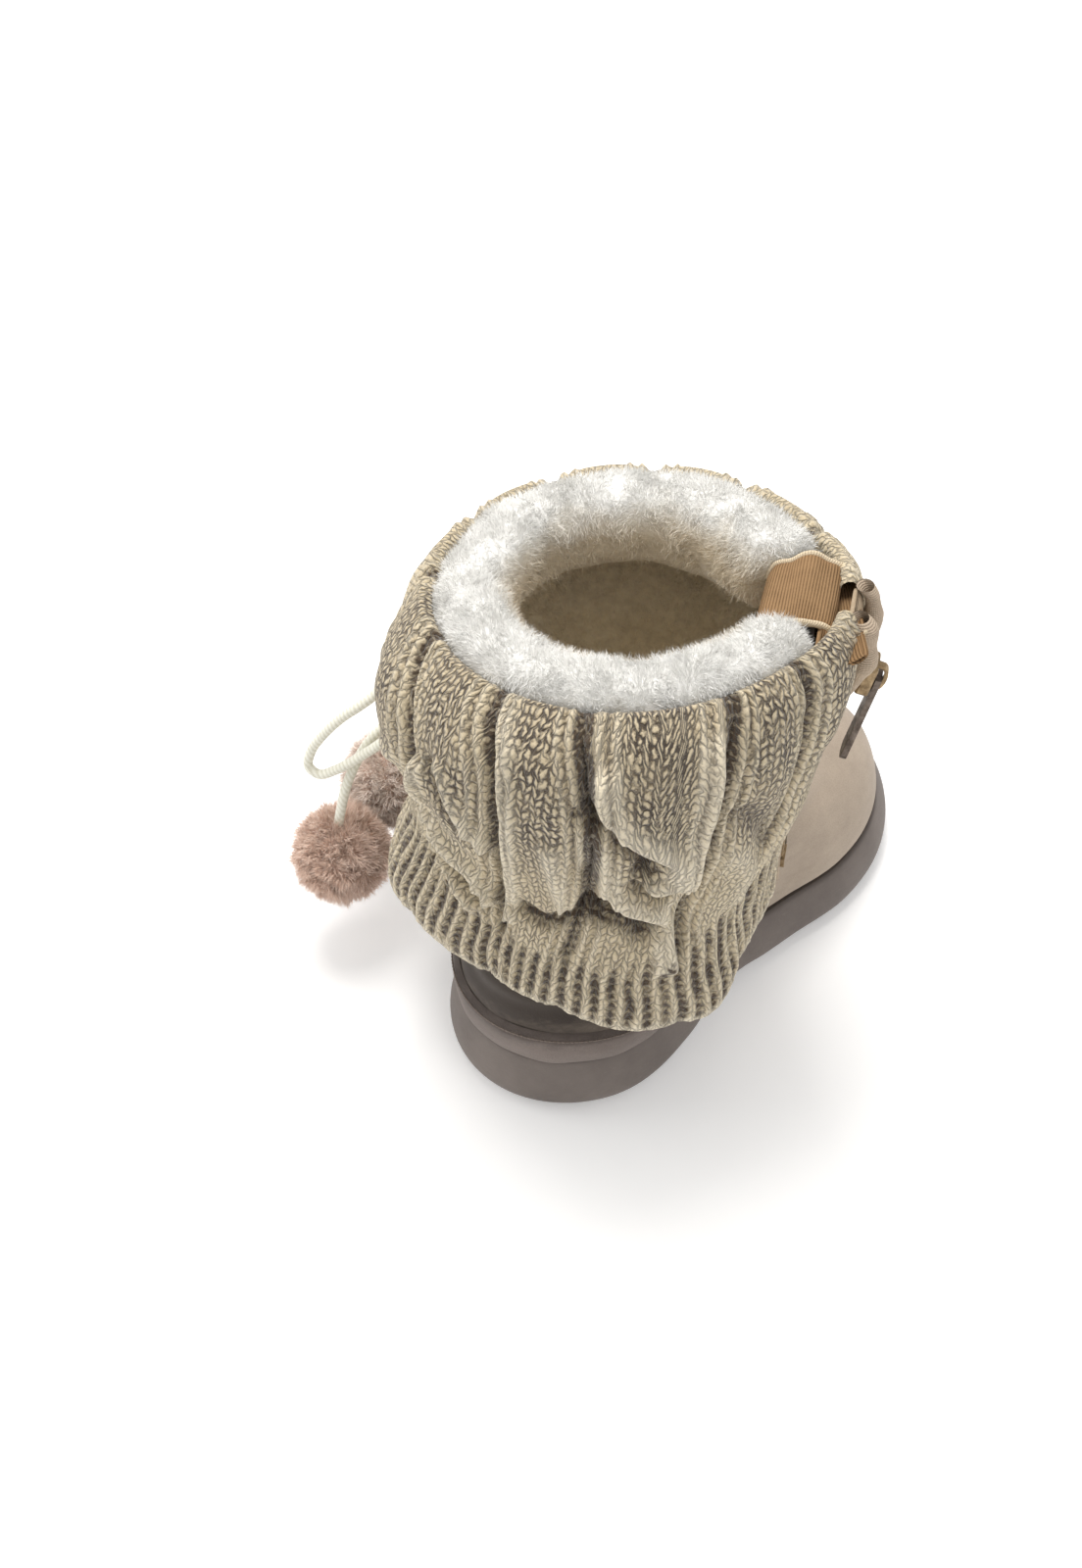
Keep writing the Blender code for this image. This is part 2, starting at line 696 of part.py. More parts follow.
def build_facing(where, look):
    """Ribbon folded over the collar at the zip, from inside the knit down into the boot."""
    outward, side = zip_frame()
    outer = fleece_point(ZIP_ANGLE, 0.0, 0.0)
    centre = tube_core(SHAFT_HEIGHT)[0]
    radius = (outer.xy - centre).length
    radius -= FACING_WIDTH**2 / (8 * radius) + CLEAR
    top = SHAFT_HEIGHT + FLEECE_HEIGHT * 0.93
    inner = (outer.xy - centre).length - FLEECE_THICKNESS
    bend = (radius - inner) / 2
    spots = [(radius, SHAFT_HEIGHT + FLEECE_HEIGHT * 0.25, 0)]
    for k in range(9):
        turn = math.pi * k / 8
        spots.append((inner + bend + bend * math.cos(turn), top - bend * 0.75 * (1 - math.sin(turn)), turn))
    spots.append((inner, top - bend * 0.75 - FACING_DROP, math.pi))
    path = []
    for reach, height, turn in spots:
        spot = Vector((centre.x, centre.y, 0)) + outward * reach
        spot.z = height + collar_lift(spot.x, spot.y, 1.0)
        path.append((spot, outward * math.cos(turn) + Vector((0, 0, math.sin(turn))), side))
    ribbon = band(path, FACING_WIDTH, -FACING_THICKNESS, 0.0)
    add_object("zip_facing", mesh_from(ribbon, "zip_facing"), where, look)


def slider_place():
    """Centre of the slider's inner face, just clear of the chain near the top of the zip."""
    normal, _ = slider_frame()
    share = 1 - SLIDER_DROP / (knit_top() - HEM_HEIGHT)
    reach = SLIDER_LENGTH / (knit_top() - HEM_HEIGHT) / 2
    spots = [knit_point(blend(share - reach, share + reach, k / 4), ZIP_ANGLE) for k in range(5)]
    middle = spots[2]
    stand = max((spot - middle).dot(normal) for spot in spots)
    return middle + normal * (stand + CHAIN_STAND + CLEAR)


def pivot_stand():
    return PULL_BAR / 2 + CLEAR


def build_slider(where, cutters, looks):
    place = slider_place()
    slider = add_object("zip_slider", box_mesh("zip_slider", (SLIDER_WIDTH, SLIDER_THICKNESS, SLIDER_LENGTH)), where, looks["brass"])
    normal, _ = slider_frame()
    slider.matrix_world = frame_matrix(place + normal * SLIDER_THICKNESS / 2)
    round_edges(slider, SLIDER_THICKNESS * 0.22)

    # Bail: a bridge along the slider, with room for the pull's bar under it
    inner_rise = 2 * pivot_stand()
    sections = []
    for k in range(11):
        turn = math.pi * k / 10
        along = BAIL_LENGTH / 2 * math.cos(turn)
        rise = inner_rise * math.sin(turn) ** 0.6
        if k in (0, 10):
            rise = -SLIDER_THICKNESS * 0.3
        grow = BAIL_THICKNESS
        out_along = (BAIL_LENGTH / 2 + grow) * math.cos(turn)
        out_rise = (inner_rise + grow) * math.sin(turn) ** 0.6 if k not in (0, 10) else rise
        half = BAIL_WIDTH / 2
        foot = SLIDER_THICKNESS
        sections.append((
            Vector((-half, foot + rise, along)),
            Vector((half, foot + rise, along)),
            Vector((half, foot + out_rise, out_along)),
            Vector((-half, foot + out_rise, out_along)),
        ))
    bail = add_object("bail_join", mesh_from(tube_of_sections(sections), "bail"), cutters)
    bail.matrix_world = frame_matrix(place)
    boolean(slider, bail, "UNION")

    # Pull: a rounded tab whose bar passes under the bail
    pivot = place + normal * (SLIDER_THICKNESS + pivot_stand())
    window = BAIL_LENGTH / 2 + BAIL_THICKNESS + CLEAR * 2 - PULL_BAR / 2
    pull = add_object("zip_pull", pull_mesh(), where, looks["pull"])
    pull.matrix_world = frame_matrix(pivot)
    cut = add_object("pull_window_cutter", box_mesh("pull_window", (BAIL_WIDTH + CLEAR * 3, PULL_BAR * 3, window)), cutters)
    cut.matrix_world = frame_matrix(pivot) @ Matrix.Translation((0, 0, -PULL_BAR / 2 - window / 2))
    boolean(pull, cut)


def pull_mesh():
    bm = bmesh.new()
    half, top = PULL_WIDTH / 2, PULL_BAR / 2
    low = top - PULL_LENGTH
    corners = [(-half * 0.86, top), (-half * 0.9, top - PULL_LENGTH * 0.4), (-half, low + half)]
    for k in range(1, 8):
        turn = math.pi * k / 8
        corners.append((-half * math.cos(turn), low + half - half * math.sin(turn)))
    corners += [(half, low + half), (half * 0.9, top - PULL_LENGTH * 0.4), (half * 0.86, top)]
    face = bm.faces.new([bm.verts.new((x, -PULL_THICKNESS / 2, z)) for x, z in corners])
    raised = bmesh.ops.extrude_face_region(bm, geom=[face])
    for vert in (v for v in raised["geom"] if isinstance(v, bmesh.types.BMVert)):
        vert.co.y += PULL_THICKNESS
    bmesh.ops.recalc_face_normals(bm, faces=bm.faces)
    return mesh_from(bm, "zip_pull", smooth=False)


# Bow and pom-poms


def knot_centre():
    share = (KNOT_HEIGHT - HEM_HEIGHT) / (knit_top() - HEM_HEIGHT)
    spot = knit_point(share, KNOT_ANGLE)
    outward = Vector((math.cos(KNOT_ANGLE), math.sin(KNOT_ANGLE), 0))
    return Vector((spot.x, spot.y, KNOT_HEIGHT)) + outward * (KNOT_RADIUS + CLEAR * 2 - KNOT_SINK)


def smooth_route(points, spacing):
    """Points at about the given spacing on a smooth curve through the route's own points."""
    points = [Vector(point) for point in points]
    ends = [points[0] * 2 - points[1]] + points + [points[-1] * 2 - points[-2]]
    fine = []
    for a, b, c, d in zip(ends, ends[1:], ends[2:], ends[3:]):
        for k in range(12):
            t = k / 12
            fine.append(0.5 * (2 * b + (c - a) * t + (2 * a - 5 * b + 4 * c - d) * t**2 + (3 * b - a - 3 * c + d) * t**3))
    fine.append(points[-1])
    lengths = [0.0]
    for a, b in zip(fine, fine[1:]):
        lengths.append(lengths[-1] + (b - a).length)
    count = max(round(lengths[-1] / spacing), 2)
    route, i = [], 0
    for k in range(count + 1):
        want = lengths[-1] * k / count
        while i < len(fine) - 2 and lengths[i + 1] < want:
            i += 1
        share = (want - lengths[i]) / (lengths[i + 1] - lengths[i])
        route.append(fine[i].lerp(fine[i + 1], share))
    return route


def cord(name, points, where, look):
    curve = bpy.data.curves.new(name, "CURVE")
    curve.dimensions = "3D"
    curve.bevel_depth = CORD_DIAMETER / 2
    curve.bevel_resolution = 2
    curve.use_fill_caps = True
    route = smooth_route(points, 2 * CORD_DIAMETER)
    spline = curve.splines.new("POLY")
    spline.points.add(len(route) - 1)
    for spot, place in zip(spline.points, route):
        spot.co = (*place, 1)
    return add_object(name, curve, where, look)


def at_knot(toward, spread=0.0):
    """Where a cord leaves the knot, facing the given point."""
    centre = knot_centre()
    aim = (Vector(toward) - centre).normalized()
    return centre + aim * (KNOT_RADIUS + CLEAR * 2 + spread)


def pom_ball(centre):
    """Ball with its locks standing out of it."""
    bm = bmesh.new()
    bmesh.ops.create_icosphere(bm, subdivisions=3, radius=POM_RADIUS)
    for vert in bm.verts:
        way = vert.co.normalized()
        lock = noise.noise(way * 4.2 + Vector(centre) * 900)
        vert.co = way * (POM_RADIUS - POM_LOCK * (0.5 - lock))
    return bm


def cord_seat(centre):
    """Where a cord's end meets the top of the pom-pom hanging from it."""
    bm = pom_ball(centre)
    top = max(vert.co.z for vert in bm.verts if vert.co.xy.length < CORD_DIAMETER)
    bm.free()
    return Vector(centre) + Vector((0, 0, top + CLEAR * 2))


def pom(name, centre, where, look):
    made = add_object(name, mesh_from(pom_ball(centre), name), where, look)
    made.location = centre
    return made


def build_bow(where, looks):
    knot = bmesh.new()
    bmesh.ops.create_uvsphere(knot, u_segments=12, v_segments=8, radius=KNOT_RADIUS)
    made = add_object("bow_knot", mesh_from(knot, "bow_knot"), where, looks["cord"])
    made.location = knot_centre()
    cord("bow_loop_back", (at_knot(BACK_LOOP[0]), *BACK_LOOP, at_knot(BACK_LOOP[-1])), where, looks["cord"])
    cord("bow_loop_front", (at_knot(FRONT_LOOP[0]), *FRONT_LOOP, at_knot(FRONT_LOOP[-1])), where, looks["cord"])
    ends = (("bow_end_back", BACK_END, BACK_POM), ("bow_end_front", FRONT_END, FRONT_POM))
    for name, route, centre in ends:
        cord(name, (at_knot(route[0]), *route[:-1], cord_seat(centre)), where, looks["cord"])
    pom("pom_pom_back", BACK_POM, where, looks["fur"])
    pom("pom_pom_front", FRONT_POM, where, looks["fur"])


def centre_on_base(where, cutters):
    """Hang everything on an empty, and move that so the boot without its bow stands centred on the origin."""
    bpy.context.view_layer.update()
    graph = bpy.context.evaluated_depsgraph_get()
    low, high = Vector((1, 1, 1)), Vector((-1, -1, -1))
    for piece in where.objects:
        if piece.name.startswith(("bow_", "pom_pom_")):
            continue
        solid = piece.evaluated_get(graph)
        for vert in solid.to_mesh().vertices:
            place = solid.matrix_world @ vert.co
            low = Vector(map(min, low, place))
            high = Vector(map(max, high, place))
        solid.to_mesh_clear()
    base = bpy.data.objects.new("base_centre", None)
    where.objects.link(base)
    for piece in (*where.objects, *cutters.objects):
        if piece is not base:
            piece.parent = base
    base.location = (-(low.x + high.x) / 2, -(low.y + high.y) / 2, 0)


def main():
    clear_scene()
    boot = collection("winter_boot")
    cutters = collection("cutters")
    suede = material("suede", (0.42, 0.35, 0.30), 0.9)
    rubber = material("sole_rubber", (0.30, 0.25, 0.22), 0.6)
    textile = material("insole_textile", (0.72, 0.66, 0.56), 0.95)
    wool = material("oatmeal_wool", (0.60, 0.52, 0.38), 0.95)
    plush = material("white_plush", (0.86, 0.85, 0.82), 1.0)
    looks = {
        "tape": material("zip_tape", (0.34, 0.25, 0.16), 0.8),
        "facing": material("brown_grosgrain", (0.33, 0.21, 0.12), 0.85),
        "brass": material("old_brass", (0.35, 0.25, 0.14), 0.4, 1.0),
        "pull": material("dark_pull", (0.14, 0.11, 0.09), 0.5, 1.0),
        "cord": material("cream_cord", (0.80, 0.78, 0.64), 0.9),
        "fur": material("pink_fur", (0.68, 0.45, 0.36), 1.0),
    }
    build_sole(boot, cutters, rubber)
    build_insole(boot, textile)
    build_upper(boot, cutters, suede)
    build_counter(boot, suede)
    build_knit(boot, wool)
    build_fleece(boot, plush)
    build_zip(boot, cutters, looks)
    build_bow(boot, looks)
    centre_on_base(boot, cutters)


main()
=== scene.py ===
"""Looks of the child's left winter boot, built round its CAD frame.

Metres, toe along +Y, inner side with the zip at +X.
"""

import functools
import math
from collections import namedtuple

import bmesh
import bpy
import numpy as np
from mathutils import Matrix, Vector, noise


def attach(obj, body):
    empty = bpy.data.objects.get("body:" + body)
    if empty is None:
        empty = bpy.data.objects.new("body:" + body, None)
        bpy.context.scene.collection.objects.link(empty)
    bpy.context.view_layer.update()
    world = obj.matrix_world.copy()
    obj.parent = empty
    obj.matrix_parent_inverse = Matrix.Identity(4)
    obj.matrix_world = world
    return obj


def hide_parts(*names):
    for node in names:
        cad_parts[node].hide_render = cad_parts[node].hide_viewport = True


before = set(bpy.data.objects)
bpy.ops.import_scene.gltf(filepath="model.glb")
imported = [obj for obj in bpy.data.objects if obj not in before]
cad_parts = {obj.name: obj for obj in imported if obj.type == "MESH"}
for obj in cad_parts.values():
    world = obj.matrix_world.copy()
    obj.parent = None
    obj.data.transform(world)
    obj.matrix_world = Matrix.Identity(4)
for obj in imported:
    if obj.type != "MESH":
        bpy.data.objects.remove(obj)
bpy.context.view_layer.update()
BODY = "boot"
# Fibres of the collar, of the lining, and of each pom-pom
COLLAR_FIBRES = 65000
LINING_FIBRES = 32000
POM_FIBRES = 21000
# From the back of the heel, where the shapes below start, to the frame's origin
BASE = Vector((-0.000101, -0.072361, 0.0))

# Sizes and tables of the part
CLEAR = 0.0003

# Sole
SOLE_LENGTH = 0.148
BALL_WIDTH = 0.066
HEEL_WIDTH = 0.057
SOLE_HEEL_HEIGHT = 0.0185
SOLE_TOE_HEIGHT = 0.013
TOE_SPRING = 0.005
TOE_TURN = -0.0016
ARCH_RISE = 0.0025
SIDE_BULGE = 0.0026
TREAD_EDGE = 0.0015
GROOVE_WIDTH = 0.002
GROOVE_DEPTH = 0.002
GROOVE_PITCH = 0.009
GROOVE_CHEVRON = 0.004
LEDGE_WIDTH = 0.0042
CUP_DEPTH = 0.005
INSOLE_THICKNESS = 0.0043

# Upper: foot, ankle and the tube inside the shaft
UPPER_WALL = 0.002
UPPER_INSET = 0.0015
HEEL_SET = 0.008
ANKLE_HEIGHT = 0.068
ANKLE_WIDTH = 0.066
ANKLE_DEPTH = 0.080
COLLAR_WIDTH = 0.084
COLLAR_DEPTH = 0.086
SHAFT_HEIGHT = 0.123
COLLAR_RISE_INNER = 0.130
COLLAR_DROP_FRONT = 0.035
COUNTER_THICKNESS = 0.0016
COUNTER_REACH = 0.36
# Rows of FOOT between which the counter lies, and the share by which its ends are lower than its middle
COUNTER_LOW_ROW = 0.12
COUNTER_HIGH_ROW = 2.05
COUNTER_SHOULDER = 0.75

# Knit shaft and plush collar
KNIT_WALL = 0.0035
KNIT_SWELL = 0.010
KNIT_GROOVE = 0.004
HEM_HEIGHT = 0.046
HEM_WAVE = 0.017
FLEECE_HEIGHT = 0.021
FLEECE_THICKNESS = 0.0175
FLEECE_ABOVE_KNIT = 0.003

# Zip
ZIP_ANGLE = math.radians(30)
TAPE_WIDTH = 0.009
TAPE_THICKNESS = 0.001
TAPE_MARGIN = 0.0008
CHAIN_WIDTH = 0.0042
CHAIN_THICKNESS = 0.0016
CHAIN_STAND = 0.0003
CHAIN_START = 0.075
FACING_WIDTH = 0.0165
FACING_THICKNESS = 0.0014
FACING_DROP = 0.016

# Bow and pom-poms
CORD_DIAMETER = 0.0026
KNOT_RADIUS = 0.0036
KNOT_SINK = 0.0020
KNOT_HEIGHT = 0.086
KNOT_ANGLE = math.radians(182)
POM_RADIUS = 0.0120
POM_LOCK = 0.0011

Station = namedtuple("Station", "along medial lateral")
# Fullness of each side of the outline, as shares of the width there
OUTLINE = (
    Station(0.00, 0.777, 0.777),
    Station(0.12, 0.712, 0.712),
    Station(0.28, 0.553, 0.564),
    Station(0.42, 0.435, 0.495),
    Station(0.58, 0.452, 0.498),
    Station(0.72, 0.545, 0.563),
    Station(0.86, 0.621, 0.641),
    Station(1.00, 0.653, 0.609),
)

Bottom = namedtuple("Bottom", "along arch")
# Rise of the waist off the floor, as shares of ARCH_RISE
ARCH = (
    Bottom(0.0, 0),
    Bottom(0.30, 0),
    Bottom(0.36, 0.75),
    Bottom(0.41, 1),
    Bottom(0.46, 0.75),
    Bottom(0.52, 0),
    Bottom(1, 0),
)

FootRow = namedtuple("FootRow", "rise_back rise_front reach tuck full sole follow")
# Rings of the foot from the sole up to the ankle. Rises are shares of the height from sole to ankle,
# reach is a share of the way from the ankle's front to the toe, tuck a share of HEEL_SET, full the
# width, sole the share of the sole's outline in the ring, and follow how far it follows the sole's top
FOOT = (
    FootRow(0.000, 0.000, 1.000, 0.19, 1.00, 1.00, 1.00),
    FootRow(0.105, 0.100, 0.998, 0.10, 1.02, 1.00, 0.90),
    FootRow(0.230, 0.240, 0.950, 0.13, 0.99, 0.92, 0.65),
    FootRow(0.350, 0.360, 0.840, 0.24, 0.92, 0.70, 0.40),
    FootRow(0.460, 0.455, 0.670, 0.38, 0.85, 0.45, 0.18),
    FootRow(0.560, 0.540, 0.460, 0.52, 0.83, 0.25, 0.05),
    FootRow(0.665, 0.640, 0.260, 0.66, 0.86, 0.12, 0.00),
    FootRow(0.775, 0.755, 0.110, 0.80, 0.91, 0.05, 0.00),
    FootRow(0.890, 0.880, 0.030, 0.91, 0.96, 0.00, 0.00),
    FootRow(1.000, 1.000, 0.000, 1.00, 1.00, 0.00, 0.00),
)
SHAFT_RINGS = 4

KnitRow = namedtuple("KnitRow", "rise medial lateral back front corner tuck groove")
# Rings of the knit from hem to rolled top. Rise is a share of its height, the sides are shares of
# KNIT_SWELL beyond the closest fit round the tube, corner the extra share halfway between back and
# sides, tuck the share drawn in at the zip, and groove a share of KNIT_GROOVE
KNIT = (
    KnitRow(0.000, 0.10, 1.50, 0.46, 0.14, 0.34, 0.12, 0.30),
    KnitRow(0.070, 0.08, 1.38, 0.40, 0.12, 0.32, 0.10, 0.40),
    KnitRow(0.170, 0.12, 1.02, 0.18, 0.08, 0.28, 0.08, 0.65),
    KnitRow(0.290, 0.30, 0.74, 0.02, 0.06, 0.18, 0.06, 0.75),
    KnitRow(0.420, 0.50, 0.62, 0.08, 0.05, 0.08, 0.12, 0.80),
    KnitRow(0.550, 0.50, 0.72, 0.40, 0.12, 0.08, 0.24, 0.95),
    KnitRow(0.675, 0.50, 0.80, 0.74, 0.22, 0.10, 0.26, 1.00),
    KnitRow(0.790, 0.54, 0.66, 0.84, 0.18, 0.10, 0.14, 1.00),
    KnitRow(0.890, 0.50, 0.40, 0.62, 0.04, 0.06, -0.04, 0.90),
    KnitRow(0.965, 0.26, 0.08, 0.10, -0.20, 0.00, -0.22, 0.55),
    KnitRow(1.000, -0.06, -0.15, -0.42, -0.48, 0.00, -0.30, 0.25),
)
TUCK_SPREAD = math.radians(48)

HemPoint = namedtuple("HemPoint", "turn rise flare")
# The hem round the boot, by degrees from the inner side: rise is its height as a share of HEM_WAVE, for
# it climbs over the instep, and flare how far it stands out, as a share of KNIT_SWELL
HEM = (
    HemPoint(-180, -0.22, 0.00),
    HemPoint(-140, 0.00, 0.00),
    HemPoint(-100, 0.48, 0.00),
    HemPoint(-62, 0.42, 0.00),
    HemPoint(-36, 0.06, 0.50),
    HemPoint(-16, -0.24, 0.60),
    HemPoint(4, -0.10, 0.02),
    HemPoint(30, 0.16, 0.00),
    HemPoint(60, 0.76, 0.00),
    HemPoint(90, 1.00, 0.00),
    HemPoint(120, 0.76, 0.00),
    HemPoint(150, 0.08, 0.00),
    HemPoint(180, -0.22, 0.00),
)

Section = namedtuple("Section", "inward up")
# Section of the plush ring from its outer foot over the top, as shares of its thickness and height
FLEECE = (
    Section(0.06, 0.00),
    Section(0.00, 0.12),
    Section(0.00, 0.66),
    Section(0.14, 0.89),
    Section(0.38, 1.00),
    Section(0.64, 0.98),
    Section(0.88, 0.82),
    Section(1.00, 0.52),
    Section(0.98, 0.20),
    Section(0.80, 0.00),
)

# Routes of the bow's cords, given as points: loops out and back, ends down to the pom-poms
BACK_LOOP = (
    (-0.0595, 0.0360, 0.0890),
    (-0.0610, 0.0270, 0.0830),
    (-0.0680, 0.0195, 0.0745),
    (-0.0735, 0.0145, 0.0640),
    (-0.0730, 0.0130, 0.0570),
    (-0.0670, 0.0160, 0.0600),
    (-0.0610, 0.0205, 0.0660),
    (-0.0548, 0.0262, 0.0740),
    (-0.0555, 0.0335, 0.0790),
)
FRONT_LOOP = (
    (-0.0605, 0.0540, 0.0900),
    (-0.0650, 0.0640, 0.0860),
    (-0.0700, 0.0745, 0.0740),
    (-0.0690, 0.0790, 0.0640),
    (-0.0640, 0.0760, 0.0650),
    (-0.0600, 0.0680, 0.0740),
    (-0.0575, 0.0600, 0.0830),
)
BACK_END = (
    (-0.0575, 0.0440, 0.0760),
    (-0.0600, 0.0340, 0.0720),
    (-0.0628, 0.0245, 0.0660),
    (-0.0640, 0.0170, 0.0560),
    (-0.0645, 0.0130, 0.0480),
)
FRONT_END = (
    (-0.0570, 0.0530, 0.0760),
    (-0.0640, 0.0480, 0.0670),
    (-0.0690, 0.0400, 0.0580),
    (-0.0695, 0.0370, 0.0530),
)
BACK_POM = (-0.0645, 0.0127, 0.0320)
FRONT_POM = (-0.0695, 0.0365, 0.0370)


def blend(a, b, share):
    return a + (b - a) * share


def ease(share):
    share = min(max(share, 0.0), 1.0)
    return share * share * (3 - 2 * share)


def read(table, at, column):
    """Smooth curve through one column of a table, read at a value of its first column."""
    keys = [row[0] for row in table]
    values = [getattr(row, column) for row in table]
    last = len(table) - 1
    at = min(max(at, keys[0]), keys[-1])
    i = max(k for k in range(last) if keys[k] <= at)

    def slope(k):
        low, high = max(k - 1, 0), min(k + 1, last)
        return (values[high] - values[low]) / (keys[high] - keys[low])

    span = keys[i + 1] - keys[i]
    t = (at - keys[i]) / span
    rise = slope(i) * span * (t**3 - 2 * t**2 + t) + slope(i + 1) * span * (t**3 - t**2)
    return values[i] * (2 * t**3 - 3 * t**2 + 1) + values[i + 1] * (3 * t**2 - 2 * t**3) + rise


def local_width(along):
    return blend(HEEL_WIDTH, BALL_WIDTH, ease((along - 0.25) / 0.45))


def half_width(turn):
    """Signed half width of the sole's outline. Turn 0 is the heel, pi the toe, and plus the inner side."""
    along = (1 - math.cos(turn)) / 2
    side = "medial" if turn > 0 else "lateral"
    return read(OUTLINE, along, side) * local_width(along) * math.sin(turn)


def sole_bottom(y):
    along = min(max(y / SOLE_LENGTH, 0.0), 1.0)
    spring = TOE_SPRING * max(along - 0.7, 0.0) ** 2 / 0.3**2
    return spring + ARCH_RISE * min(max(read(ARCH, along, "arch"), 0.0), 1.0)


def sole_top(y):
    along = min(max(y / SOLE_LENGTH, 0.0), 1.0)
    spring = TOE_SPRING * max(along - 0.7, 0.0) ** 2 / 0.3**2
    return blend(SOLE_HEEL_HEIGHT, SOLE_TOE_HEIGHT, along) + spring


def tube_core(z):
    """Centre and half sizes at a height of the tube's outer face, which the knit and collar fit round."""
    share = ease((z - ANKLE_HEIGHT) / (SHAFT_HEIGHT - ANKLE_HEIGHT))
    depth = blend(ANKLE_DEPTH, COLLAR_DEPTH, share)
    centre = HEEL_SET + blend(ANKLE_DEPTH, COLLAR_DEPTH, share) / 2 + 0.0015 * share
    return Vector((0.001 * share, centre)), blend(ANKLE_WIDTH, COLLAR_WIDTH, share) / 2, depth / 2


def collar_lift(x, y, share):
    """The collar's plane climbs to the inner side and drops to the front."""
    centre = tube_core(SHAFT_HEIGHT)[0]
    return share * ((x - centre.x) * COLLAR_RISE_INNER - (y - centre.y) * COLLAR_DROP_FRONT)


@functools.lru_cache(maxsize=None)
def foot_row(level):
    """Columns of the FOOT table at a fractional row."""
    rows = [(n, *row) for n, row in enumerate(FOOT)]
    Level = namedtuple("Level", ("n", *FootRow._fields))
    rows = [Level(*row) for row in rows]
    return FootRow(*(read(rows, level, column) for column in FootRow._fields))


def upper_point(level, turn):
    """Point on the upper's outer face. Levels 0 to 9 are the foot, and those above it the tube."""
    along = (1 - math.cos(turn)) / 2
    top_level = len(FOOT) - 1
    if level > top_level:
        share = (level - top_level) / SHAFT_RINGS
        height = blend(ANKLE_HEIGHT, SHAFT_HEIGHT, share)
        centre, wide, deep = tube_core(height)
        x, y = centre.x + wide * math.sin(turn), centre.y - deep * math.cos(turn)
        return Vector((x, y, height + collar_lift(x, y, share)))
    row = foot_row(level)
    ankle_front = HEEL_SET + ANKLE_DEPTH
    toe = SOLE_LENGTH - UPPER_INSET
    back_y = HEEL_SET * row.tuck
    front_y = blend(ankle_front, toe, row.reach)
    low_back, low_front = sole_top(back_y) + CLEAR, sole_top(toe) + CLEAR
    y = blend(back_y, front_y, along)
    z = blend(
        blend(low_back, ANKLE_HEIGHT, row.rise_back),
        blend(low_front, ANKLE_HEIGHT, row.rise_front),
        along,
    )
    sag = blend(low_back, low_front, along) - (sole_top(y) + CLEAR)
    sole_half = half_width(turn) - UPPER_INSET * math.sin(turn)
    round_half = ANKLE_WIDTH / 2 * math.sin(turn)
    x = row.full * blend(round_half, sole_half, row.sole)
    return Vector((x + TOE_TURN * along**2 * row.sole, y, z - sag * row.follow))


def upper_normal(level, turn):
    step = 0.01
    up = upper_point(level + step, turn) - upper_point(level, turn)
    side = upper_point(level, turn + step) - upper_point(level, turn - step)
    return side.cross(up).normalized()


def zip_frame():
    outward = Vector((math.cos(ZIP_ANGLE), math.sin(ZIP_ANGLE), 0))
    return outward, Vector((-outward.y, outward.x, 0))


def knit_top():
    return SHAFT_HEIGHT + FLEECE_HEIGHT - FLEECE_ABOVE_KNIT


def knit_point(rise, angle, groove_share=0.0, inward=0.0):
    """Point on the knit's outer face at a share of its height and an angle from the inner side."""
    height = blend(HEM_HEIGHT, knit_top(), rise)
    turn = (math.degrees(angle) + 180) % 360 - 180
    lift = HEM_WAVE * read(HEM, turn, "rise") * (1 - ease(rise / 0.45))
    centre, wide, deep = tube_core(height + lift)
    groove = groove_share * KNIT_GROOVE * read(KNIT, rise, "groove")
    base = CLEAR + KNIT_WALL + KNIT_GROOVE - inward - groove
    side = "medial" if math.cos(angle) > 0 else "lateral"
    face = "front" if math.sin(angle) > 0 else "back"
    swell_x = read(KNIT, rise, side) * KNIT_SWELL
    swell_y = read(KNIT, rise, face) * KNIT_SWELL
    if math.sin(angle) < 0:
        base += read(KNIT, rise, "corner") * KNIT_SWELL * math.sin(2 * angle) ** 2
    base += read(HEM, turn, "flare") * KNIT_SWELL * (1 - ease(rise / 0.3))
    off_zip = (angle - ZIP_ANGLE + math.pi) % (2 * math.pi) - math.pi
    if abs(off_zip) < TUCK_SPREAD:
        base -= read(KNIT, rise, "tuck") * KNIT_SWELL * math.cos(
            off_zip / TUCK_SPREAD * math.pi / 2
        ) ** 2
    x = centre.x + (wide + base + swell_x) * math.cos(angle)
    y = centre.y + (deep + base + swell_y) * math.sin(angle)
    return Vector((x, y, height + lift + collar_lift(x, y, ease((rise - 0.2) / 0.8))))


def edge_angles(point_at, middle, half):
    """Angles either side of the zip where a ring's point lies a distance from the zip's middle plane."""
    _, side = zip_frame()
    found = []
    for way in (1, -1):
        low, high = 0.0, math.pi / 3
        for _ in range(30):
            mid = (low + high) / 2
            far = abs((point_at(ZIP_ANGLE + way * mid) - middle).dot(side))
            low, high = (mid, high) if far < half else (low, mid)
        found.append(ZIP_ANGLE + way * high)
    return found[0], found[1] + 2 * math.pi


def fleece_point(angle, inward, height):
    edge = knit_point(1.0, angle, inward=KNIT_WALL * 0.75 + KNIT_GROOVE * 0.25 + CLEAR)
    centre = tube_core(SHAFT_HEIGHT)[0]
    out = Vector((edge.x - centre.x, edge.y - centre.y))
    out = out * (out.length - inward) / out.length
    x, y = centre.x + out.x, centre.y + out.y
    return Vector((x, y, height + collar_lift(x, y, 1.0)))


def knot_centre():
    share = (KNOT_HEIGHT - HEM_HEIGHT) / (knit_top() - HEM_HEIGHT)
    spot = knit_point(share, KNOT_ANGLE)
    outward = Vector((math.cos(KNOT_ANGLE), math.sin(KNOT_ANGLE), 0))
    return Vector((spot.x, spot.y, KNOT_HEIGHT)) + outward * (KNOT_RADIUS + CLEAR * 2 - KNOT_SINK)


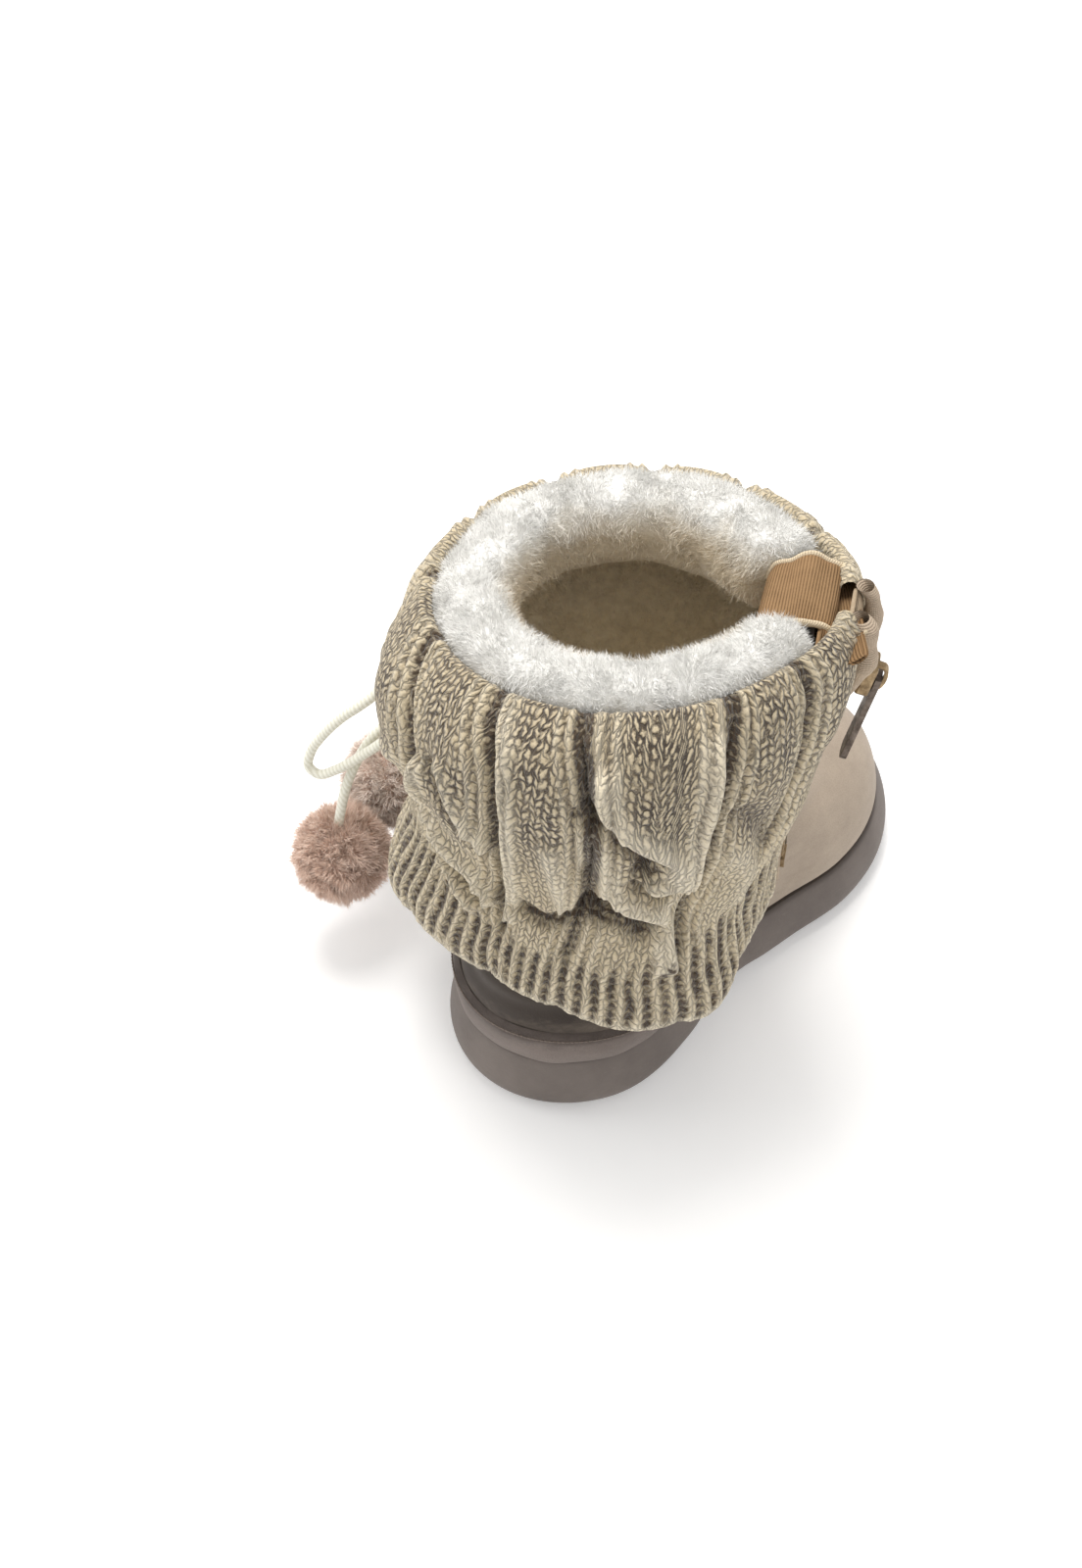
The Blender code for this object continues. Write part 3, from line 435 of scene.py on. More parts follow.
def smooth_route(points, spacing):
    """Points at about the given spacing on a smooth curve through the route's own points."""
    points = [Vector(point) for point in points]
    ends = [points[0] * 2 - points[1]] + points + [points[-1] * 2 - points[-2]]
    fine = []
    for a, b, c, d in zip(ends, ends[1:], ends[2:], ends[3:]):
        for k in range(12):
            t = k / 12
            square, cube = 2 * a - 5 * b + 4 * c - d, 3 * b - a - 3 * c + d
            fine.append(0.5 * (2 * b + (c - a) * t + square * t**2 + cube * t**3))
    fine.append(points[-1])
    lengths = [0.0]
    for a, b in zip(fine, fine[1:]):
        lengths.append(lengths[-1] + (b - a).length)
    count = max(round(lengths[-1] / spacing), 2)
    route, i = [], 0
    for k in range(count + 1):
        want = lengths[-1] * k / count
        while i < len(fine) - 2 and lengths[i + 1] < want:
            i += 1
        share = (want - lengths[i]) / (lengths[i + 1] - lengths[i])
        route.append(fine[i].lerp(fine[i + 1], share))
    return route


def at_knot(toward, spread=0.0):
    """Where a cord leaves the knot, facing the given point."""
    centre = knot_centre()
    aim = (Vector(toward) - centre).normalized()
    return centre + aim * (KNOT_RADIUS + CLEAR * 2 + spread)


def pom_ball(centre):
    """Ball with its locks standing out of it."""
    bm = bmesh.new()
    bmesh.ops.create_icosphere(bm, subdivisions=3, radius=POM_RADIUS)
    for vert in bm.verts:
        way = vert.co.normalized()
        lock = noise.noise(way * 4.2 + Vector(centre) * 900)
        vert.co = way * (POM_RADIUS - POM_LOCK * (0.5 - lock))
    return bm


def cord_seat(centre):
    """Where a cord's end meets the top of the pom-pom hanging from it."""
    bm = pom_ball(centre)
    top = max(vert.co.z for vert in bm.verts if vert.co.xy.length < CORD_DIAMETER)
    bm.free()
    return Vector(centre) + Vector((0, 0, top + CLEAR * 2))


# Camera, light and floor


# The photo's view, fitted to it: the focal length is in pixels of the photo's height
VIEW_AZIMUTH = math.radians(43.71)
VIEW_ELEVATION = math.radians(48.5)
VIEW_ROLL = math.radians(-2.61)
VIEW_AIM = Vector((-0.02331, 0.04678, 0.060))
VIEW_DISTANCE = 0.57224
FOCAL_PIXELS = 2291.59
FRAME_HEIGHT_PIXELS = 1600
SENSOR_MM = 36


def place_camera():
    back = Vector((
        math.sin(VIEW_AZIMUTH) * math.cos(VIEW_ELEVATION),
        -math.cos(VIEW_AZIMUTH) * math.cos(VIEW_ELEVATION),
        math.sin(VIEW_ELEVATION),
    ))
    right = Vector((math.cos(VIEW_AZIMUTH), math.sin(VIEW_AZIMUTH), 0))
    up = back.cross(right)
    across = right * math.cos(VIEW_ROLL) + up * math.sin(VIEW_ROLL)
    upward = up * math.cos(VIEW_ROLL) - right * math.sin(VIEW_ROLL)
    place = VIEW_AIM + BASE + back * VIEW_DISTANCE
    data = bpy.data.cameras.new("camera")
    data.sensor_width = SENSOR_MM
    data.lens = FOCAL_PIXELS / FRAME_HEIGHT_PIXELS * SENSOR_MM
    data.clip_start = 0.01
    made = bpy.data.objects.new("camera", data)
    bpy.context.scene.collection.objects.link(made)
    made.matrix_world = Matrix.Translation(place) @ Matrix((across, upward, back)).transposed().to_4x4()
    bpy.context.scene.camera = made


def area_light(name, place, aim, size, power, colour=(1, 1, 1)):
    data = bpy.data.lights.new(name, "AREA")
    data.size = size
    data.energy = power
    data.color = colour
    made = bpy.data.objects.new(name, data)
    bpy.context.scene.collection.objects.link(made)
    made.location = place
    made.rotation_euler = (Vector(aim) - Vector(place)).to_track_quat("-Z", "Y").to_euler()


def place_lights():
    world = bpy.data.worlds.new("studio")
    bpy.context.scene.world = world
    world.use_nodes = True
    world.node_tree.nodes["Background"].inputs["Color"].default_value = (1.0, 0.99, 0.98, 1)
    world.node_tree.nodes["Background"].inputs["Strength"].default_value = 0.66
    area_light("key", (-0.22, 0.10, 1.0), (0, 0, 0.08), 0.45, 6.7, (1.0, 0.975, 0.94))
    area_light("left", (-0.95, -0.60, 0.75), (0, 0, 0.07), 0.6, 3.0, (1.0, 0.98, 0.95))
    area_light("fill", (0.9, -0.3, 0.7), (0, 0, 0.06), 0.7, 0.7)
    area_light("top", (-0.3, 0.5, 1.0), (0, 0, 0.10), 0.6, 1.6, (0.98, 0.98, 1.0))


def lay_floor():
    bm = bmesh.new()
    bmesh.ops.create_grid(bm, x_segments=1, y_segments=1, size=40.0)
    mesh = bpy.data.meshes.new("floor")
    bm.to_mesh(mesh)
    bm.free()
    floor = bpy.data.objects.new("floor", mesh)
    bpy.context.scene.collection.objects.link(floor)
    floor.location.z = -0.0002
    look, _, shader = new_look("pale_floor")
    shader.inputs["Base Color"].default_value = (0.93, 0.93, 0.93, 1)
    shader.inputs["Roughness"].default_value = 0.9
    shader.inputs["Emission Color"].default_value = (1, 1, 1, 1)
    shader.inputs["Emission Strength"].default_value = 0.22
    mesh.materials.append(look)


# Building blocks


def new_look(name):
    look = bpy.data.materials.new(name)
    look.use_nodes = True
    tree = look.node_tree
    return look, tree, tree.nodes["Principled BSDF"]


def node(tree, kind, inputs=(), **settings):
    made = tree.nodes.new(kind)
    for key, value in settings.items():
        setattr(made, key, value)
    for key, value in dict(inputs).items():
        if isinstance(value, bpy.types.NodeSocket):
            tree.links.new(value, made.inputs[key])
        else:
            made.inputs[key].default_value = value
    return made


def maths(tree, operation, a, b=None, clamp=False):
    made = tree.nodes.new("ShaderNodeMath")
    made.operation = operation
    made.use_clamp = clamp
    for i, value in enumerate((a, b)):
        if value is None:
            continue
        if isinstance(value, bpy.types.NodeSocket):
            tree.links.new(value, made.inputs[i])
        else:
            made.inputs[i].default_value = value
    return made.outputs[0]


def mix(tree, share, a, b):
    made = tree.nodes.new("ShaderNodeMix")
    made.data_type = "RGBA"
    for key, value in ((0, share), (6, a), (7, b)):
        if isinstance(value, bpy.types.NodeSocket):
            tree.links.new(value, made.inputs[key])
        else:
            made.inputs[key].default_value = (*value, 1) if isinstance(value, tuple) else value
    return made.outputs[2]


def times(colour, factor):
    return tuple(min(c * factor, 1) for c in colour)


def span(tree, value, low, high, out_low=0.0, out_high=1.0):
    made = node(tree, "ShaderNodeMapRange", {0: value, 1: low, 2: high, 3: out_low, 4: out_high})
    return made.outputs[0]


def place_of(tree, scale=(1, 1, 1)):
    """Object coordinates, which are metres in the frame."""
    coords = tree.nodes.new("ShaderNodeTexCoord").outputs["Object"]
    return node(tree, "ShaderNodeMapping", {"Vector": coords, "Scale": scale}).outputs[0]


def noise_of(tree, where, scale, detail=4.0, rough=0.55):
    return node(
        tree,
        "ShaderNodeTexNoise",
        {"Vector": where, "Scale": scale, "Detail": detail, "Roughness": rough},
    ).outputs["Fac"]


def bump(tree, shader, height, distance, strength=1.0):
    made = node(tree, "ShaderNodeBump", {"Height": height, "Distance": distance, "Strength": strength})
    tree.links.new(made.outputs[0], shader.inputs["Normal"])


def attribute(tree, name):
    return node(tree, "ShaderNodeAttribute", attribute_name=name).outputs["Fac"]


def mesh_object(name, points, faces, look, smooth=True, values=None, uv=None, shift=True):
    """Piece of the boot from points in the part's heel frame."""
    mesh = bpy.data.meshes.new(name)
    points = np.asarray(points, float).reshape(-1, 3)
    if shift:
        points = points + np.array(BASE)
    faces = np.asarray(faces)
    count = len(faces)
    corners = faces.shape[1]
    mesh.vertices.add(len(points))
    mesh.vertices.foreach_set("co", points.ravel())
    mesh.loops.add(count * corners)
    mesh.loops.foreach_set("vertex_index", faces.ravel())
    mesh.polygons.add(count)
    mesh.polygons.foreach_set("loop_start", np.arange(count) * corners)
    if uv is not None:
        layer = mesh.uv_layers.new(name="stitch")
        layer.data.foreach_set("uv", np.asarray(uv, float).reshape(-1, 2)[faces.ravel()].ravel())
    for key, value in (values or {}).items():
        mesh.attributes.new(key, "FLOAT", "POINT").data.foreach_set(
            "value", np.asarray(value, float).ravel()
        )
    mesh.update(calc_edges=True)
    mesh.validate()
    if smooth:
        mesh.shade_smooth()
    made = bpy.data.objects.new(name, mesh)
    bpy.context.scene.collection.objects.link(made)
    mesh.materials.append(look)
    return made


def grid_faces(rows, columns, closed=False):
    index = np.arange(rows * columns).reshape(rows, columns)
    if closed:
        index = np.concatenate([index, index[:, :1]], axis=1)
    return np.stack([index[:-1, :-1], index[:-1, 1:], index[1:, 1:], index[1:, :-1]], -1).reshape(-1, 4)


def settle(made, slot, *nodes):
    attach(made, BODY)
    if nodes:
        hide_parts(*nodes)
    return made


def strands(name, roots, ways, lengths, width, look, seed, curl=0.35, droop=0.0, values=None, out=None):
    """Fine tapering fibres as one mesh, from roots along ways.

    Their flat sides turn towards out where it's given. Values hold one number for each fibre.
    """
    rng = np.random.default_rng(seed)
    count = len(roots)
    ways = ways / np.linalg.norm(ways, axis=1, keepdims=True)
    facing = rng.normal(size=(count, 3))
    if out is not None:
        facing = out + facing * 0.22
    side = np.cross(ways, facing)
    side /= np.linalg.norm(side, axis=1, keepdims=True)
    bent = ways + rng.normal(size=(count, 3)) * curl
    bent[:, 2] -= droop
    bent /= np.linalg.norm(bent, axis=1, keepdims=True)
    long = lengths[:, None]
    middle = roots + ways * long * 0.5
    tip = middle + bent * long * 0.5
    half = side * width / 2
    points = np.stack(
        [roots - half, roots + half, middle + half * 0.8, middle - half * 0.8, tip], 1
    ).reshape(-1, 3)
    base = np.arange(count)[:, None] * 5
    faces = np.concatenate([base + [0, 1, 2], base + [0, 2, 3], base + [3, 2, 4]])
    shade = np.repeat(rng.random(count), 5)
    along = np.tile([0.0, 0.0, 0.5, 0.5, 1.0], count)
    held = {"shade": shade, "along": along}
    held.update({key: np.repeat(value, 5) for key, value in (values or {}).items()})
    return mesh_object(name, points, faces, look, values=held, shift=False)


def scatter(made, count, seed, keep=None):
    """Random points on a piece, with their normals."""
    rng = np.random.default_rng(seed)
    mesh = made.data
    mesh.calc_loop_triangles()
    points = np.empty(len(mesh.vertices) * 3)
    mesh.vertices.foreach_get("co", points)
    points = points.reshape(-1, 3)
    faces = np.empty(len(mesh.loop_triangles) * 3, int)
    mesh.loop_triangles.foreach_get("vertices", faces)
    corners = points[faces.reshape(-1, 3)]
    normal = np.cross(corners[:, 1] - corners[:, 0], corners[:, 2] - corners[:, 0])
    area = np.linalg.norm(normal, axis=1)
    weight = area * (keep(corners.mean(1)) if keep else 1.0)
    chosen = rng.choice(len(area), count, p=weight / weight.sum())
    a, b = rng.random((2, count, 1))
    flip = a + b > 1
    a, b = np.where(flip, 1 - a, a), np.where(flip, 1 - b, b)
    spot = corners[chosen]
    roots = spot[:, 0] + (spot[:, 1] - spot[:, 0]) * a + (spot[:, 2] - spot[:, 0]) * b
    return roots, normal[chosen] / area[chosen][:, None]


def fibre_noise(points, scale, seed=0.0):
    shift = Vector((seed, seed * 1.7, seed * 0.3))
    return np.array([noise.noise(Vector(p) * scale + shift) for p in points])


# Materials


def suede_look(name, light, dark, nap=1.0, heel=0.0, hem_shadow=0.0):
    """Napped suede. Its colour is painted darker over the back and bottom of the heel, a painted shade,
    and in a strip below the knit's hem, a painted shadow, each by its own share.
    """
    look, tree, shader = new_look(name)
    where = place_of(tree)
    broad = noise_of(tree, where, 38, 3, 0.5)
    brushed = noise_of(tree, place_of(tree, (1, 1, 2.2)), 170, 4, 0.6)
    fine = noise_of(tree, where, 2600, 3, 0.7)
    tone = mix(tree, span(tree, broad, 0.3, 0.7), dark, light)
    tone = mix(tree, span(tree, brushed, 0.35, 0.75, 0, 0.35 * nap), tone, times(light, 1.18))
    tone = mix(tree, span(tree, fine, 0.35, 0.6, 0.30, 0), tone, times(dark, 0.62))
    if heel:
        parts = node(tree, "ShaderNodeSeparateXYZ", {0: where}).outputs
        # Painted shade: darker towards the back and bottom of the heel
        wear_and_shade = maths(
            tree, "MULTIPLY", span(tree, parts[1], -0.036, -0.062), span(tree, parts[2], 0.052, 0.034)
        )
        tone = mix(tree, maths(tree, "MULTIPLY", wear_and_shade, heel), tone, times(dark, 0.40))
    if hem_shadow:
        parts = node(tree, "ShaderNodeSeparateXYZ", {0: where}).outputs
        # Painted shadow: a dark strip with a ragged top edge below the knit's hem
        ragged = maths(tree, "ADD", parts[2], span(tree, brushed, 0.3, 0.7, -0.0022, 0.0022))
        hem_shadow_mask = maths(
            tree, "MULTIPLY", span(tree, ragged, 0.0245, 0.033), span(tree, parts[1], -0.030, -0.055)
        )
        tone = mix(tree, maths(tree, "MULTIPLY", hem_shadow_mask, hem_shadow), tone, (0.040, 0.030, 0.025))
    tree.links.new(tone, shader.inputs["Base Color"])
    shader.inputs["Roughness"].default_value = 0.92
    shader.inputs["Sheen Weight"].default_value = 0.12
    shader.inputs["Sheen Roughness"].default_value = 0.5
    height = maths(tree, "ADD", fine, maths(tree, "MULTIPLY", brushed, 0.7))
    bump(tree, shader, height, 0.00025, 0.5)
    return look


def knit_look():
    look, tree, shader = new_look("cable_knit")
    uv = node(tree, "ShaderNodeUVMap", uv_map="stitch").outputs[0]
    wobble = node(
        tree, "ShaderNodeTexNoise", {"Vector": place_of(tree), "Scale": 380.0, "Detail": 3.0}
    ).outputs["Color"]
    moved = node(
        tree, "ShaderNodeVectorMath", {0: wobble, 1: (0.5, 0.5, 0.5)}, operation="SUBTRACT"
    ).outputs[0]
    moved = node(tree, "ShaderNodeVectorMath", {0: moved, 3: 0.95}, operation="SCALE").outputs[0]
    uv = node(tree, "ShaderNodeVectorMath", {0: uv, 1: moved}, operation="ADD").outputs[0]
    parts = node(tree, "ShaderNodeSeparateXYZ", {0: uv}).outputs
    across = maths(tree, "ABSOLUTE", maths(tree, "SUBTRACT", maths(tree, "FRACT", parts[0]), 0.5))
    across = maths(tree, "MULTIPLY", across, 2.0)
    leg = maths(tree, "FRACT", maths(tree, "SUBTRACT", parts[1], maths(tree, "MULTIPLY", across, 0.75)))
    along = maths(tree, "SINE", maths(tree, "MULTIPLY", leg, math.pi))
    wide = maths(tree, "SINE", maths(tree, "MULTIPLY", across, math.pi))
    stitch = maths(tree, "POWER", maths(tree, "MULTIPLY", along, wide), 0.45)
    where = place_of(tree)
    fuzz = noise_of(tree, where, 1900, 4, 0.7)
    patch = noise_of(tree, where, 95, 3, 0.6)
    speck = noise_of(tree, where, 520, 3, 0.65)
    # Painted shade: dark openings between the stitches, larger and darker in the open middles of the
    # panels, which are also painted darker overall
    open_knit_shade = span(tree, attribute(tree, "middle"), 0.25, 0.85)
    hole = span(tree, maths(tree, "ADD", stitch, maths(tree, "MULTIPLY", open_knit_shade, -0.32)), 0.60, 0.30)
    holes = maths(tree, "MULTIPLY", hole, span(tree, open_knit_shade, 0.0, 1.0, 0.40, 1.0))
    holes = maths(tree, "MULTIPLY", holes, span(tree, patch, 0.32, 0.56, 0.65, 1.0))
    holes = maths(tree, "MULTIPLY", holes, span(tree, speck, 0.36, 0.50, 0.30, 1.0))
    tone = mix(tree, span(tree, patch, 0.3, 0.7), (0.53, 0.425, 0.262), (0.71, 0.595, 0.40))
    tone = mix(tree, maths(tree, "MULTIPLY", open_knit_shade, 0.30), tone, (0.36, 0.275, 0.165))
    tone = mix(tree, span(tree, fuzz, 0.35, 0.7, 0, 0.5), tone, (0.92, 0.81, 0.60))
    tone = mix(tree, maths(tree, "MULTIPLY", holes, 0.97), tone, (0.060, 0.038, 0.020))
    # Painted highlight on raised ridges: fold ridges, rib tops, stitch columns and the hem's lower edge
    tone = mix(
        tree,
        maths(tree, "MULTIPLY", attribute(tree, "crest_highlight"), 0.60, clamp=True),
        tone,
        (0.93, 0.84, 0.66),
    )
    # Painted shade in the grooves, the fold troughs and between the ribs; threads cross the grooves and
    # leave dark holes between them
    rung = maths(tree, "SINE", maths(tree, "MULTIPLY", parts[1], 2 * math.pi))
    rung = span(
        tree, maths(tree, "ADD", rung, span(tree, speck, 0.3, 0.7, -1.3, 1.3)), -0.8, 0.9, 1.0, 0.40
    )
    groove_shade = maths(tree, "MULTIPLY", attribute(tree, "hollow_shade"), rung)
    tone = mix(tree, span(tree, groove_shade, 0.06, 0.55, 0.0, 0.97), tone, (0.070, 0.044, 0.024))
    tree.links.new(tone, shader.inputs["Base Color"])
    shader.inputs["Roughness"].default_value = 0.95
    shader.inputs["Sheen Weight"].default_value = 0.25
    height = maths(tree, "ADD", stitch, maths(tree, "MULTIPLY", fuzz, 0.45))
    bump(tree, shader, height, 0.0009, 1.0)
    return look


def fibre_look(name, root, tip, dark, spread=0.5):
    look, tree, shader = new_look(name)
    tone = mix(tree, attribute(tree, "along"), root, tip)
    tone = mix(tree, maths(tree, "MULTIPLY", attribute(tree, "shade"), spread), tone, dark)
    tree.links.new(tone, shader.inputs["Base Color"])
    shader.inputs["Roughness"].default_value = 0.8
    shader.inputs["Sheen Weight"].default_value = 0.2
    shader.inputs["Specular IOR Level"].default_value = 0.2
    return look


def pile_look(name, light, dark, scale=420.0, depth=0.0012):
    look, tree, shader = new_look(name)
    where = place_of(tree)
    clump = noise_of(tree, where, scale, 5, 0.65)
    broad = noise_of(tree, where, scale / 6, 3, 0.5)
    fine = noise_of(tree, where, scale * 5, 3, 0.7)
    tone = mix(tree, span(tree, clump, 0.35, 0.62), dark, light)
    tone = mix(tree, span(tree, broad, 0.4, 0.7, 0, 0.35), tone, times(light, 0.86))
    tree.links.new(tone, shader.inputs["Base Color"])
    shader.inputs["Roughness"].default_value = 1.0
    shader.inputs["Sheen Weight"].default_value = 0.4
    height = maths(tree, "ADD", clump, maths(tree, "MULTIPLY", fine, 0.35))
    bump(tree, shader, height, depth, 0.8)
    return look


def plush_look(name, bump_depth=0.0012):
    """Plush, white at the collar's top and browner and darker the deeper it lies, by the attribute sink in
    metres: painted shade of the boot's inside.
    """
    look, tree, shader = new_look(name)
    where = place_of(tree)
    clump = noise_of(tree, where, 420, 5, 0.65)
    broad = noise_of(tree, where, 80, 3, 0.55)
    sink = maths(tree, "ADD", attribute(tree, "sink"), span(tree, broad, 0.25, 0.75, -0.002, 0.002))
    # Painted shade of the boot's inside: white at the top, beige and browner deeper down
    tone = mix(tree, span(tree, sink, 0.016, 0.045), (0.82, 0.72, 0.555), (0.90, 0.79, 0.585))
    tone = mix(tree, span(tree, sink, 0.0010, 0.0095), (0.86, 0.855, 0.83), tone)
    # Painted shade between the clumps, growing with depth
    dark = maths(
        tree, "MULTIPLY", span(tree, clump, 0.58, 0.36), span(tree, sink, 0.004, 0.03, 0.03, 0.26)
    )
    tone = mix(tree, dark, tone, (0.48, 0.385, 0.26))
    tree.links.new(tone, shader.inputs["Base Color"])
    shader.inputs["Roughness"].default_value = 1.0
    shader.inputs["Sheen Weight"].default_value = 0.3
    bump(tree, shader, clump, bump_depth, 0.8)
    return look


def rubber_look():
    look, tree, shader = new_look("sole_rubber_worn")
    where = place_of(tree)
    broad = noise_of(tree, where, 45, 4, 0.6)
    fine = noise_of(tree, where, 1500, 3, 0.6)
    scuff = noise_of(tree, place_of(tree, (1, 1, 6)), 260, 4, 0.7)
    tone = mix(tree, span(tree, broad, 0.3, 0.7), (0.120, 0.098, 0.086), (0.180, 0.150, 0.132))
    tone = mix(tree, span(tree, scuff, 0.60, 0.78, 0, 0.45), tone, (0.27, 0.235, 0.21))
    # Darker towards the bottom, over the lowest 4 mm of the sole
    low = node(tree, "ShaderNodeSeparateXYZ", {0: where}).outputs[2]
    tone = mix(
        tree,
        maths(tree, "MULTIPLY", span(tree, low, 0.004, 0.0, 0, 1), 0.45),
        tone,
        (0.09, 0.073, 0.062),
    )
    tone = mix(tree, attribute(tree, "ledge"), tone, (0.085, 0.068, 0.058))
    tree.links.new(tone, shader.inputs["Base Color"])
    tree.links.new(span(tree, scuff, 0.3, 0.8, 0.52, 0.72), shader.inputs["Roughness"])
    bump(tree, shader, maths(tree, "ADD", fine, maths(tree, "MULTIPLY", scuff, 0.4)), 0.00018, 0.5)
    return look


def woven_look(name, light, dark, pitch, axis="X"):
    """Ribbed ribbon or tape: its ribs follow the piece's own UV."""
    look, tree, shader = new_look(name)
    uv = node(tree, "ShaderNodeUVMap", uv_map="stitch").outputs[0]
    parts = node(tree, "ShaderNodeSeparateXYZ", {0: uv}).outputs
    lane = parts[0] if axis == "X" else parts[1]
    cross = parts[1] if axis == "X" else parts[0]
    rib = maths(tree, "ABSOLUTE", maths(tree, "SINE", maths(tree, "MULTIPLY", lane, math.pi / pitch)))
    weft = maths(
        tree, "ABSOLUTE", maths(tree, "SINE", maths(tree, "MULTIPLY", cross, math.pi / pitch * 1.6))
    )
    where = place_of(tree)
    fuzz = noise_of(tree, where, 2200, 3, 0.7)
    broad = noise_of(tree, where, 160, 3, 0.6)
    tone = mix(tree, span(tree, rib, 0.1, 0.8), dark, light)
    tone = mix(tree, span(tree, broad, 0.35, 0.7, 0, 0.4), tone, times(light, 1.3))
    tone = mix(tree, span(tree, fuzz, 0.5, 0.7, 0, 0.3), tone, times(light, 1.5))
    tree.links.new(tone, shader.inputs["Base Color"])
    shader.inputs["Roughness"].default_value = 0.92
    shader.inputs["Specular IOR Level"].default_value = 0.15
    height = maths(
        tree,
        "ADD",
        maths(tree, "ADD", rib, maths(tree, "MULTIPLY", weft, 0.4)),
        maths(tree, "MULTIPLY", fuzz, 0.3),
    )
    bump(tree, shader, height, 0.00022, 0.8)
    return look


def metal_look(name, light, dark, rough=0.36):
    look, tree, shader = new_look(name)
    where = place_of(tree)
    wear_and_shade = noise_of(tree, where, 420, 4, 0.65)
    grain = noise_of(tree, where, 3000, 3, 0.6)
    tone = mix(tree, span(tree, wear_and_shade, 0.35, 0.7), dark, light)
    tree.links.new(tone, shader.inputs["Base Color"])
    tree.links.new(span(tree, wear_and_shade, 0.3, 0.75, rough + 0.2, rough - 0.06), shader.inputs["Roughness"])
    shader.inputs["Metallic"].default_value = 1.0
    bump(tree, shader, maths(tree, "ADD", grain, wear_and_shade), 0.00006, 0.5)
    return look


def cord_look():
    look, tree, shader = new_look("twisted_cord")
    where = place_of(tree)
    fuzz = noise_of(tree, where, 2400, 4, 0.7)
    strand = node(
        tree,
        "ShaderNodeTexWave",
        {"Vector": place_of(tree, (1, 1, 1)), "Scale": 300.0, "Distortion": 2.5, "Detail": 2.0},
        bands_direction="DIAGONAL",
    ).outputs["Fac"]
    tone = mix(tree, span(tree, strand, 0.1, 0.8), (0.68, 0.665, 0.55), (0.84, 0.83, 0.73))
    tone = mix(tree, span(tree, fuzz, 0.45, 0.7, 0, 0.4), tone, (0.92, 0.91, 0.84))
    tree.links.new(tone, shader.inputs["Base Color"])
    shader.inputs["Roughness"].default_value = 0.85
    shader.inputs["Sheen Weight"].default_value = 0.3
    bump(tree, shader, maths(tree, "ADD", strand, maths(tree, "MULTIPLY", fuzz, 0.8)), 0.00014, 0.6)
    return look


# Foot and sole


def smooth_profile(table, count):
    """Rows of (inset, share, drop) read smoothly at evenly spread places."""
    Row = namedtuple("Row", "at inset share drop")
    rows = [Row(n, *row) for n, row in enumerate(table)]
    places = [k / (count - 1) * (len(table) - 1) for k in range(count)]
    return [tuple(read(rows, at, column) for column in ("inset", "share", "drop")) for at in places]


def fine_outline(count):
    points = []
    for k in range(count):
        turn = 2 * math.pi * k / count
        if turn > math.pi:
            turn -= 2 * math.pi
        along = (1 - math.cos(turn)) / 2
        points.append(Vector((half_width(turn) + TOE_TURN * along**2, along * SOLE_LENGTH)))
    ways = []
    for i in range(count):
        edge = points[(i + 1) % count] - points[i - 1]
        ways.append(Vector((-edge.y, edge.x)).normalized())
    return points, ways


def sole_row(outline, ways, inset, share, drop=0.0):
    row = []
    for point, way in zip(outline, ways):
        spot = point + way * inset
        low, high = sole_bottom(spot.y), sole_top(spot.y)
        row.append((spot.x, spot.y, blend(low, high, share) - drop))
    return row


